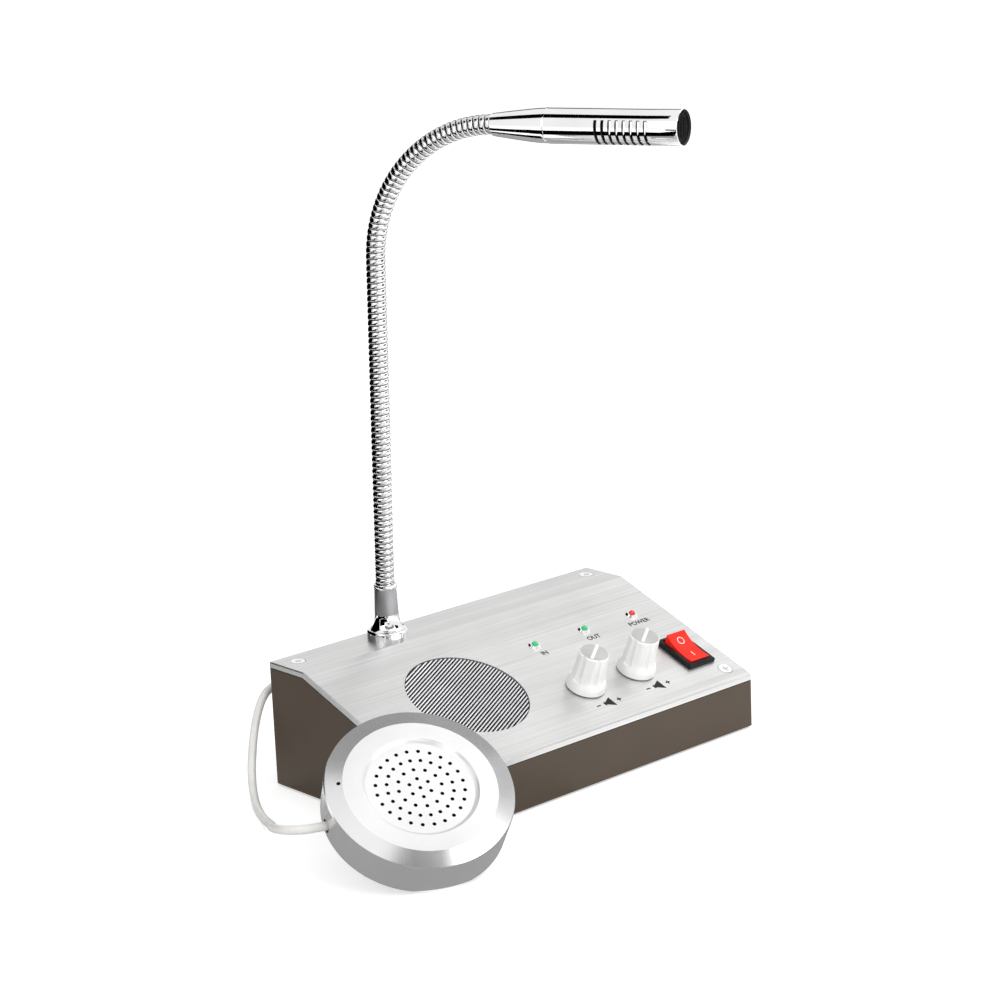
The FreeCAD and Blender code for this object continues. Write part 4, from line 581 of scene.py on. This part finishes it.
def makeNeckFoot():
    x, y, _ = neck["foot"]
    low, high = neckFoot["satin"]
    for name, node in (("neckFlange", "neck_flange"), ("neckBell", "neck_bell"), ("neckFerrule", "neck_ferrule")):
        height, outline = neckFoot[node]
        obj = turned(name, outline, standing(x, y, height), sides=neckFoot["sides"], filled=False,
                     angle=neckFoot["angle"])
        wear(obj, "console", "neck_chrome", finish["brightChrome"], finish["satinChrome"], standsFor=[node])
        paintFaces(obj, 1, lambda centre, normal: low * mm < centre.z < high * mm)


makeNeckFoot()
print("foot made")


# microphone: its taper and its slotted barrel

mic = {
    "start": (59.22, 262.2),
    "taper": [(4.05, 0), (4.35, 0), (4.5, 0.15), (4.65, 1.2), (5.25, 6.0), (5.80, 10.6), (6.28, 14.8), (6.62, 18.4),
              (6.80, 21.0), (6.88, 23.2), (6.88, 23.6), (6.78, 23.9), (5.95, 23.9)],
    "taperLength": 23.9,
    "radius": 6.94,
    "length": 55.0,
    "wall": 1.0,
    "slotStart": 21.2,
    "slotPitch": 2.9,
    "slotWidth": 1.25,
    "slots": 8,
    "slotSpan": 232,
    "rearEdge": 0.12,
    "frontLip": [(0, 0.45), (0.1, 0.15), (0.3, 0)],   # how far in from the side, and back from the front
    "sides": 144,
    "angle": 30,
    "openAngle": 60,          # while the slots are still faces
}


def onMicrophone(along=0.0):
    # local Z forward along the microphone and local X down
    reach, height = mic["start"]
    x, y, _ = neck["foot"]
    turn = math.radians(neck["azimuth"])
    place = standing(x + reach * math.cos(turn), y + reach * math.sin(turn), height)
    return place @ Matrix.Rotation(turn, 4, "Z") @ Matrix.Rotation(math.pi / 2, 4, "Y") @ standing(0, 0, along)


def makeMicrophone():
    taper = turned("micTaper", mic["taper"], onMicrophone(), sides=mic["sides"], filled=False, angle=mic["angle"])
    wear(taper, "microphone", "mic_chrome", finish["brightChrome"], standsFor=["mic_taper"])

    radius, length, start = mic["radius"], mic["length"], mic["slotStart"]
    rings = [(radius - mic["rearEdge"], 0), (radius, mic["rearEdge"])]
    for i in range(mic["slots"]):
        low = start + i * mic["slotPitch"]
        rings += [(radius, low), (radius, low + mic["slotWidth"])]
    rings += [(radius - inward, length - back) for inward, back in mic["frontLip"]]
    barrel = turned("micBarrel", rings, sides=mic["sides"], filled=False, angle=mic["openAngle"])

    def inSlot(centre, normal):
        inRow = start < centre.z < start + (mic["slots"] - 1) * mic["slotPitch"] + mic["slotWidth"]
        aside = abs(math.degrees(math.atan2(centre.y, centre.x)))
        return inRow and (centre.z - start) % mic["slotPitch"] < mic["slotWidth"] and aside < mic["slotSpan"] / 2

    pickFaces(barrel, inSlot)
    bpy.ops.mesh.delete(type="FACE")
    bpy.ops.object.mode_set(mode="OBJECT")
    barrel.data.materials.append(finish["brightChrome"])
    barrel.data.materials.append(finish["blackPlasticAndShade"])
    # painted shade: the barrel's inside and the walls of its slots take the near-black finish
    applyModifier(barrel, "SOLIDIFY", thickness=mic["wall"] * mm, offset=-1, material_offset=1, material_offset_rim=1)
    only(barrel)
    bpy.ops.object.shade_smooth_by_angle(angle=math.radians(mic["angle"]))
    settle(barrel, onMicrophone(mic["taperLength"]))
    ride(barrel, "microphone", standsFor=["mic_barrel"])


makeMicrophone()
print("microphone made")


# bars over the loudspeaker, trimmed to the plate's opening and carried by a ring behind it

bars = {"x": -36, "down": 40, "radius": 25.2, "pitch": 1.35, "width": 0.62, "thick": 1.2, "sunk": 0.4, "angle": 26,
        "edge": 0.12, "spare": 1, "sides": 180, "cutDepth": 10, "darkFrom": 0.01, "angleShaded": 35,
        "ring": [(24.9, -3.2), (29, -3.2), (29, -2.2), (25.42, -2.2), (25.42, -1.6), (24.9, -1.6), (24.9, -3.2)]}


def makeSpeakerBars():
    count = 2 * int(bars["radius"] / bars["pitch"]) + 1
    bpy.ops.object.select_all(action="DESELECT")
    bpy.ops.mesh.primitive_cube_add(size=mm)
    grid = bpy.context.object
    grid.scale = (2 * bars["radius"] + bars["spare"], bars["width"], bars["thick"])
    bpy.ops.object.transform_apply(location=False, rotation=False, scale=True)
    editAll(grid)
    bpy.ops.mesh.bevel(offset=bars["edge"] * mm, segments=2, affect="EDGES")
    bpy.ops.object.mode_set(mode="OBJECT")
    settle(grid, standing(0, -bars["pitch"] * (count - 1) / 2, -bars["sunk"] - bars["thick"] / 2))
    applyModifier(grid, "ARRAY", count=count, use_relative_offset=False, use_constant_offset=True,
                  constant_offset_displace=(0, bars["pitch"] * mm, 0))
    settle(grid, Matrix.Rotation(math.radians(bars["angle"]), 4, "Z"))
    bpy.ops.object.select_all(action="DESELECT")
    bpy.ops.mesh.primitive_cylinder_add(vertices=bars["sides"], radius=bars["radius"] * mm,
                                        depth=bars["cutDepth"] * mm)
    opening = bpy.context.object
    applyModifier(grid, "BOOLEAN", object=opening, operation="INTERSECT", solver="EXACT")
    bpy.data.objects.remove(opening)
    whole = joinAll("speakerBars", [grid, turned("ring", bars["ring"], sides=bars["sides"], filled=False)])
    cleanUp(settle(whole, onSlope(bars["x"], bars["down"])), bars["angleShaded"], "fine")
    wear(whole, "console", "grille_steel", finish["grilleSteel"], finish["blackPlasticAndShade"],
         standsFor=["speaker_grille"])
    # painted shade: the bars' backs and the ring behind them take the near-black finish
    back = onSlope(bars["x"], bars["down"]).inverted()
    dark = (bars["darkFrom"] - bars["sunk"] - bars["thick"]) * mm      # the bars' backs and the ring behind them
    paintFaces(whole, 1, lambda centre, normal: (back @ centre).z < dark)


makeSpeakerBars()
print("loudspeaker bars made")


# volume knobs

knobs = {"sides": ("in", "out"), "angle": 28, "facing": 0.9, "top": (16.5, 17.1)}   # heights over the plate


def makeKnobs():
    up, (low, high) = onSlope(0, 0).inverted(), knobs["top"]
    for side in knobs["sides"]:
        knob = smoothCopy(f"knob{side.capitalize()}", f"knob_{side}", angle=knobs["angle"])
        wear(knob, f"volume_{side}_set", "knob_silver", finish["knobSilver"], finish["knobTop"],
             standsFor=[f"knob_{side}"])
        paintFaces(knob, 1, lambda centre, normal: (up.to_3x3() @ normal).z > knobs["facing"]
                   and low * mm < (up @ centre).z < high * mm)


makeKnobs()
print("knobs made")


# printed words and signs on the plate

signs = {
    "words": {"In": ("IN", 14.4, 31.3), "Out": ("OUT", 42.8, 31.3), "Power": ("POWER", 70.1, 31.0)},
    "wordSize": 3.4,
    "bold": 0.06,
    "down": 70.0,
    "horns": {"In": 15.2, "Out": 43.7},
    "aside": 5.7,
    "angle": 20,
    "bar": (2.2, 0.65),
    "barEdge": 0.004,
    "horn": {"box": (1.4, 1.9), "boxAt": -1.9, "reach": 3.4, "mouthAt": 2.2, "flare": 3.1},
    "proud": 0.03,
}


def flatText(name, text, size, place):
    bpy.ops.object.select_all(action="DESELECT")
    bpy.ops.object.text_add()
    obj = bpy.context.object
    obj.data.body = text
    obj.data.size = size * mm
    obj.data.align_x = obj.data.align_y = "CENTER"
    obj.data.extrude = signs["proud"] / 2 * mm
    obj.data.offset = signs["bold"] * mm
    bpy.ops.object.convert(target="MESH")
    obj = bpy.context.object
    obj.name = name
    cleanUp(obj, signs["angle"], "text")
    return settle(obj, place)


def flatBar(name, place, crossed=False):
    # a minus, or a plus where it is crossed
    strokes = []
    for turn in ((0, 90) if crossed else (0,)):
        bpy.ops.object.select_all(action="DESELECT")
        bpy.ops.mesh.primitive_cube_add(size=mm)
        bar = bpy.context.object
        bar.scale = (*signs["bar"], signs["proud"])
        bpy.ops.object.transform_apply(location=False, rotation=False, scale=True)
        editAll(bar)
        bpy.ops.mesh.bevel(offset=signs["barEdge"] * mm, segments=1, affect="EDGES")
        bpy.ops.object.mode_set(mode="OBJECT")
        strokes.append(settle(bar, Matrix.Rotation(math.radians(turn), 4, "Z")))
    return settle(joinAll(name, strokes), place)


def flatHorn(name, place):
    # a small loudspeaker: its box, drawn out into a horn that opens to the right
    horn = signs["horn"]
    bpy.ops.object.select_all(action="DESELECT")
    bpy.ops.mesh.primitive_cube_add(size=mm)
    obj = bpy.context.object
    obj.scale = (*horn["box"], signs["proud"])
    bpy.ops.object.transform_apply(location=False, rotation=False, scale=True)
    settle(obj, standing(horn["boxAt"], 0, 0))
    pickFaces(obj, lambda centre, normal: normal.x > 0.9)
    bpy.ops.mesh.extrude_region_move(TRANSFORM_OT_translate={"value": (horn["reach"] * mm, 0, 0)})
    bpy.ops.transform.resize(value=(1, horn["flare"], 1), center_override=(horn["mouthAt"] * mm, 0, 0))
    bpy.ops.object.mode_set(mode="OBJECT")
    obj.name = name
    return settle(obj, place)


def makeSigns():
    made = [flatText(f"word{key}", text, signs["wordSize"], onSlope(x, down, signs["proud"] / 2))
            for key, (text, x, down) in signs["words"].items()]
    for side, x in signs["horns"].items():
        low = onSlope(x, signs["down"], signs["proud"] / 2)
        made.append(flatBar(f"signLess{side}", low @ standing(-signs["aside"], 0, 0)))
        made.append(flatBar(f"signMore{side}", low @ standing(signs["aside"], 0, 0), crossed=True))
        made.append(flatHorn(f"signHorn{side}", low))
    for obj in made:
        wear(obj, "console", "panel_aluminium", finish["printInk"])


makeSigns()


# marks on the rocker

rockerMarks = {
    "x": 72.5,
    "down": (53.2, 61.2),
    "above": 20,
    "ring": (1.40, 1.52, 1.64, 1.76),
    "ringSides": 64,
    "bar": (0.42, 2.5),
    "barCuts": 7,
    "proud": 0.03,
}


def laidOnRocker(name, obj, down):
    # a thin mark, pressed on the rocker's curved skin
    rocker, line = nodes["switch_rocker"], onSlope(rockerMarks["x"], down, rockerMarks["above"])
    _, spot, normal, _ = rocker.ray_cast(line.translation, -(line.to_3x3() @ Vector((0, 0, 1))))
    side = Vector((1, 0, 0))
    place = Matrix((side, normal.cross(side).normalized(), normal)).transposed().to_4x4()
    place.translation = spot + normal * mm
    obj.name = name
    settle(obj, place)
    applyModifier(obj, "SHRINKWRAP", target=rocker, wrap_method="NEAREST_SURFACEPOINT", wrap_mode="ABOVE_SURFACE",
                  offset=rockerMarks["proud"] * mm)
    return applyModifier(obj, "SOLIDIFY", thickness=rockerMarks["proud"] * mm, offset=0)


def makeRockerMarks():
    ring = turned("ring", [(r, 0) for r in rockerMarks["ring"]], sides=rockerMarks["ringSides"], filled=False)
    bpy.ops.object.select_all(action="DESELECT")
    bpy.ops.mesh.primitive_plane_add(size=mm)
    bar = bpy.context.object
    bar.scale = (*rockerMarks["bar"], 1)
    bpy.ops.object.transform_apply(location=False, rotation=False, scale=True)
    editAll(bar)
    bpy.ops.mesh.subdivide(number_cuts=rockerMarks["barCuts"])
    bpy.ops.object.mode_set(mode="OBJECT")
    for name, mark, down in zip(("rockerOff", "rockerOn"), (ring, bar), rockerMarks["down"]):
        wear(laidOnRocker(name, mark, down), "rocker", "rocker_red", finish["whiteInk"])


makeRockerMarks()
print("signs and marks made")


# outer unit

outer = {
    "at": (-109.359, -66.128, 32.332),
    "turn": -21.1,
    "tilt": 34.4,
    "angle": 12,
    "faceRadius": 29.0,
    "faceSpare": 0.05,
    "wall": 33.0,
    "wallSlope": 0.3,
    "insideSlope": -0.5,
    # a thin raised ring around the dish, painted dark as its shadow gap
    "shadowLineRadius": 22.1,
    "shadowLine": [(-0.14, 0.008), (0, 0.03), (0.14, 0.008)],
    "shadowLineSides": 160,
}


def onOuterUnit():
    turn = Matrix.Rotation(math.radians(outer["turn"]), 4, "Z")
    return standing(*outer["at"]) @ turn @ Matrix.Rotation(math.radians(outer["tilt"]), 4, "X")


def makeOuterUnit():
    shell = smoothCopy("outerShell", "outer_front_shell", angle=outer["angle"])
    wear(shell, "outer_unit", "outer_silver", finish["outerFace"], finish["outerSide"], finish["blackPlasticAndShade"],
         standsFor=["outer_front_shell"])
    back, reach = onOuterUnit().inverted(), outer["faceRadius"] + outer["faceSpare"]
    paintFaces(shell, 1, lambda centre, normal: (back @ centre).xy.length > reach * mm)

    # painted shade: the holes' own walls and the shell's inside take the near-black finish
    def dark(centre, normal):      # the holes' own walls, and the inside
        facing = (back.to_3x3() @ normal).z
        inside = (back @ centre).xy.length < outer["wall"] * mm
        return inside and (abs(facing) < outer["wallSlope"] or facing < outer["insideSlope"])

    paintFaces(shell, 2, dark)
    # painted shadow line around the dish
    outline = [(outer["shadowLineRadius"] + aside, height) for aside, height in outer["shadowLine"]]
    shadowLine = turned("outerShadowLine", outline, onOuterUnit(), sides=outer["shadowLineSides"], filled=False)
    wear(shadowLine, "outer_unit", "outer_silver", finish["shadowLineGrey"])


makeOuterUnit()
print("outer unit made")


# counter, backdrop, lamps and the cards that the bright metal mirrors

studio = {
    "floorSize": 60.0,
    "floorColour": 0.80,
    "floorRough": 0.9,
    "floorLift": 0.5,
    "surround": 0.72,
    "lampsAim": (0, 0, 0.1),
    "lamps": [
        {"place": (0.2, -1.5, 1.5), "size": 1.3, "power": 17},
        {"place": (1.4, -0.4, 1.6), "size": 1.2, "power": 8},
        {"place": (-1.7, -0.5, 0.9), "size": 1.2, "power": 6},
    ],
    "cards": [   # each stands off a point in some direction and faces it, or lies flat on the counter
        {"name": "micOver", "from": (-0.002, -0.054, 0.262), "way": (-0.496, 0.290, 0.819), "far": 0.2,
         "size": (0.080, 0.18), "along": (0.342, -0.940, 0)},
        {"name": "micTop", "from": (-0.002, -0.054, 0.262), "way": (0.477, 0.644, 0.598), "far": 0.2,
         "size": (0.04, 0.2), "along": (0.342, -0.940, 0), "shade": 0.05},
        {"name": "underMat", "from": (-0.420, 0.040, 0.3), "way": (0, 0, -1), "far": 0.3, "size": (0.34, 0.44),
         "along": (0.342, -0.940, 0)},
        {"name": "leftCard", "from": (0.027, 0.071, 0.26), "way": (-0.469, 0.883, 0),
         "far": 0.34, "size": (0.54, 0.52)},
        {"name": "footMat", "from": (-0.115, 0.205, 0.3), "way": (0, 0, -1), "far": 0.3, "size": (0.11, 0.27),
         "along": (0, 1, 0)},
        # painted shade: a grey sheet seen only in the metal, standing for the counter in shade behind the console
        {"name": "behindMat", "from": (0.09, 0.21, 0.3), "way": (0, 0, -1), "far": 0.3, "size": (0.30, 0.26),
         "along": (0, 1, 0), "shade": 0.4},
        {"name": "neckCard", "from": (-0.0355, 0.0383, 0.17), "way": (-0.866, 0.5, 0),
         "far": 0.25, "size": (0.11, 0.34)},
        {"name": "lowCard", "from": (-0.0355, 0.0383, 0.083), "way": (-0.990, -0.139, 0),
         "far": 0.25, "size": (0.20, 0.094)},
        {"name": "farCard", "from": (-0.0355, 0.0383, 0.06), "way": (-0.839, -0.545, 0),
         "far": 1.0, "size": (0.66, 0.14)},
        {"name": "farMat", "from": (-0.590, -0.360, 0.3), "way": (0, 0, -1), "far": 0.3, "size": (0.38, 0.42),
         "along": (0.839, 0.545, 0)},
        {"name": "rightCard", "from": (-0.0355, 0.0383, 0.190), "way": (0.669, -0.743, 0),
         "far": 0.3, "size": (0.16, 0.12)},
        {"name": "backMat", "from": (0.55, 0.60, 0.3), "way": (0, 0, -1), "far": 0.3, "size": (0.8, 0.8),
         "along": (0.654, 0.714, 0)},
        # painted shade: a grey sheet seen only in the metal, standing for the counter in shade around the outer unit
        {"name": "outerMat", "from": (-0.125, -0.06, 0.3), "way": (0, 0, -1), "far": 0.2995, "size": (0.22, 0.2),
         "along": (0, 1, 0), "shade": 0.38},
    ],
    "ringCards": {"centre": (-88, -87, 100), "sides": 120, "sectors": (   # two angles, two radii, shade
        (-42, 130, 48, 92, 0.80), (-32, 130, 48, 92, 0.60), (-20, 130, 48, 92, 0.45), (15, 130, 48, 92, 0.30),
        (205, 261, 22, 120, 0.60), (210, 254, 22, 120, 0.20), (215, 248, 22, 120, 0.0))},
}


def makeFloor():
    bpy.ops.object.select_all(action="DESELECT")
    bpy.ops.mesh.primitive_plane_add(size=studio["floorSize"])
    floor = settle(bpy.context.object, standing(0, 0, console["counter"]))
    floor.name = "counterTop"
    material = bpy.data.materials.new("paleCounter")
    material.use_nodes = True
    tree = material.node_tree
    shader = tree.nodes["Principled BSDF"]
    shader.inputs["Base Color"].default_value = (*[studio["floorColour"]] * 3, 1)
    shader.inputs["Roughness"].default_value = studio["floorRough"]
    shader.inputs["Specular IOR Level"].default_value = 0.0
    rays = tree.nodes.new("ShaderNodeLightPath")
    seen = plus(tree, rays.outputs["Is Camera Ray"], rays.outputs["Is Glossy Ray"])
    seen = plus(tree, seen, rays.outputs["Is Transmission Ray"], clamp=True)
    lift = tree.nodes.new("ShaderNodeEmission")
    lift.inputs["Strength"].default_value = studio["floorLift"]
    both = tree.nodes.new("ShaderNodeAddShader")
    mix = tree.nodes.new("ShaderNodeMixShader")
    tree.links.new(shader.outputs[0], both.inputs[0])
    tree.links.new(lift.outputs[0], both.inputs[1])
    tree.links.new(seen, mix.inputs[0])
    tree.links.new(shader.outputs[0], mix.inputs[1])
    tree.links.new(both.outputs[0], mix.inputs[2])
    tree.links.new(mix.outputs[0], tree.nodes["Material Output"].inputs["Surface"])
    floor.data.materials.append(material)


def makeSurround():
    world = bpy.data.worlds.new("surround")
    bpy.context.scene.world = world
    world.use_nodes = True
    tree = world.node_tree
    rays = tree.nodes.new("ShaderNodeLightPath")
    seen = plus(tree, rays.outputs["Is Camera Ray"], rays.outputs["Is Glossy Ray"])
    seen = plus(tree, seen, rays.outputs["Is Transmission Ray"], clamp=True)
    strength = plus(tree, times(tree, seen, 1 - studio["surround"]), studio["surround"])
    tree.links.new(strength, tree.nodes["Background"].inputs["Strength"])
    tree.nodes["Background"].inputs["Color"].default_value = (1, 1, 1, 1)


def addLamps():
    for i, lamp in enumerate(studio["lamps"]):
        light = bpy.data.lights.new(f"softbox{i}", "AREA")
        light.size = lamp["size"]
        light.energy = lamp["power"]
        obj = bpy.data.objects.new(f"softbox{i}", light)
        obj.location = lamp["place"]
        towards = Vector(studio["lampsAim"]) - Vector(lamp["place"])
        obj.rotation_euler = towards.to_track_quat("-Z", "Y").to_euler()
        bpy.context.scene.collection.objects.link(obj)


def onlyMirrored(obj, shade):
    # a card that shows in bright metal and nowhere else
    material = bpy.data.materials.new(obj.name)
    material.use_nodes = True
    tree = material.node_tree
    glow = tree.nodes.new("ShaderNodeEmission")
    glow.inputs["Strength"].default_value = shade
    tree.links.new(glow.outputs[0], tree.nodes["Material Output"].inputs["Surface"])
    obj.data.materials.append(material)
    obj.visible_camera = obj.visible_diffuse = obj.visible_shadow = obj.visible_transmission = False


def addCards():
    for card in studio["cards"]:
        way = Vector(card["way"]).normalized()
        side = Vector(card.get("along", (0, 0, 1))).cross(way).normalized()
        place = Matrix((side, way.cross(side), way)).transposed().to_4x4()
        place.translation = Vector(card["from"]) + way * card["far"]
        bpy.ops.object.select_all(action="DESELECT")
        bpy.ops.mesh.primitive_plane_add(size=1)
        obj = bpy.context.object
        obj.name = card["name"]
        obj.scale = (*card["size"], 1)
        bpy.ops.object.transform_apply(location=False, rotation=False, scale=True)
        onlyMirrored(settle(obj, place), card.get("shade", 0.0))


def addRingCards():
    # grey sectors over the outer unit, for its machined bevel
    rings = studio["ringCards"]
    x, y, z = rings["centre"]
    for number, (first, last, inner, wide, shade) in enumerate(rings["sectors"]):
        obj = turned(f"outerRing{number}", [(inner, 0), (wide, 0)], standing(x, y, z - number), sides=rings["sides"],
                     filled=False)
        pickFaces(obj, lambda centre, normal:
                  (math.degrees(math.atan2(centre.y - y, centre.x - x)) - first) % 360 >= last - first)
        bpy.ops.mesh.delete(type="FACE")
        bpy.ops.object.mode_set(mode="OBJECT")
        onlyMirrored(obj, shade)


makeFloor()
makeSurround()
addLamps()
addCards()
addRingCards()
bpy.context.scene.view_settings.view_transform = "Standard"
print("studio made")
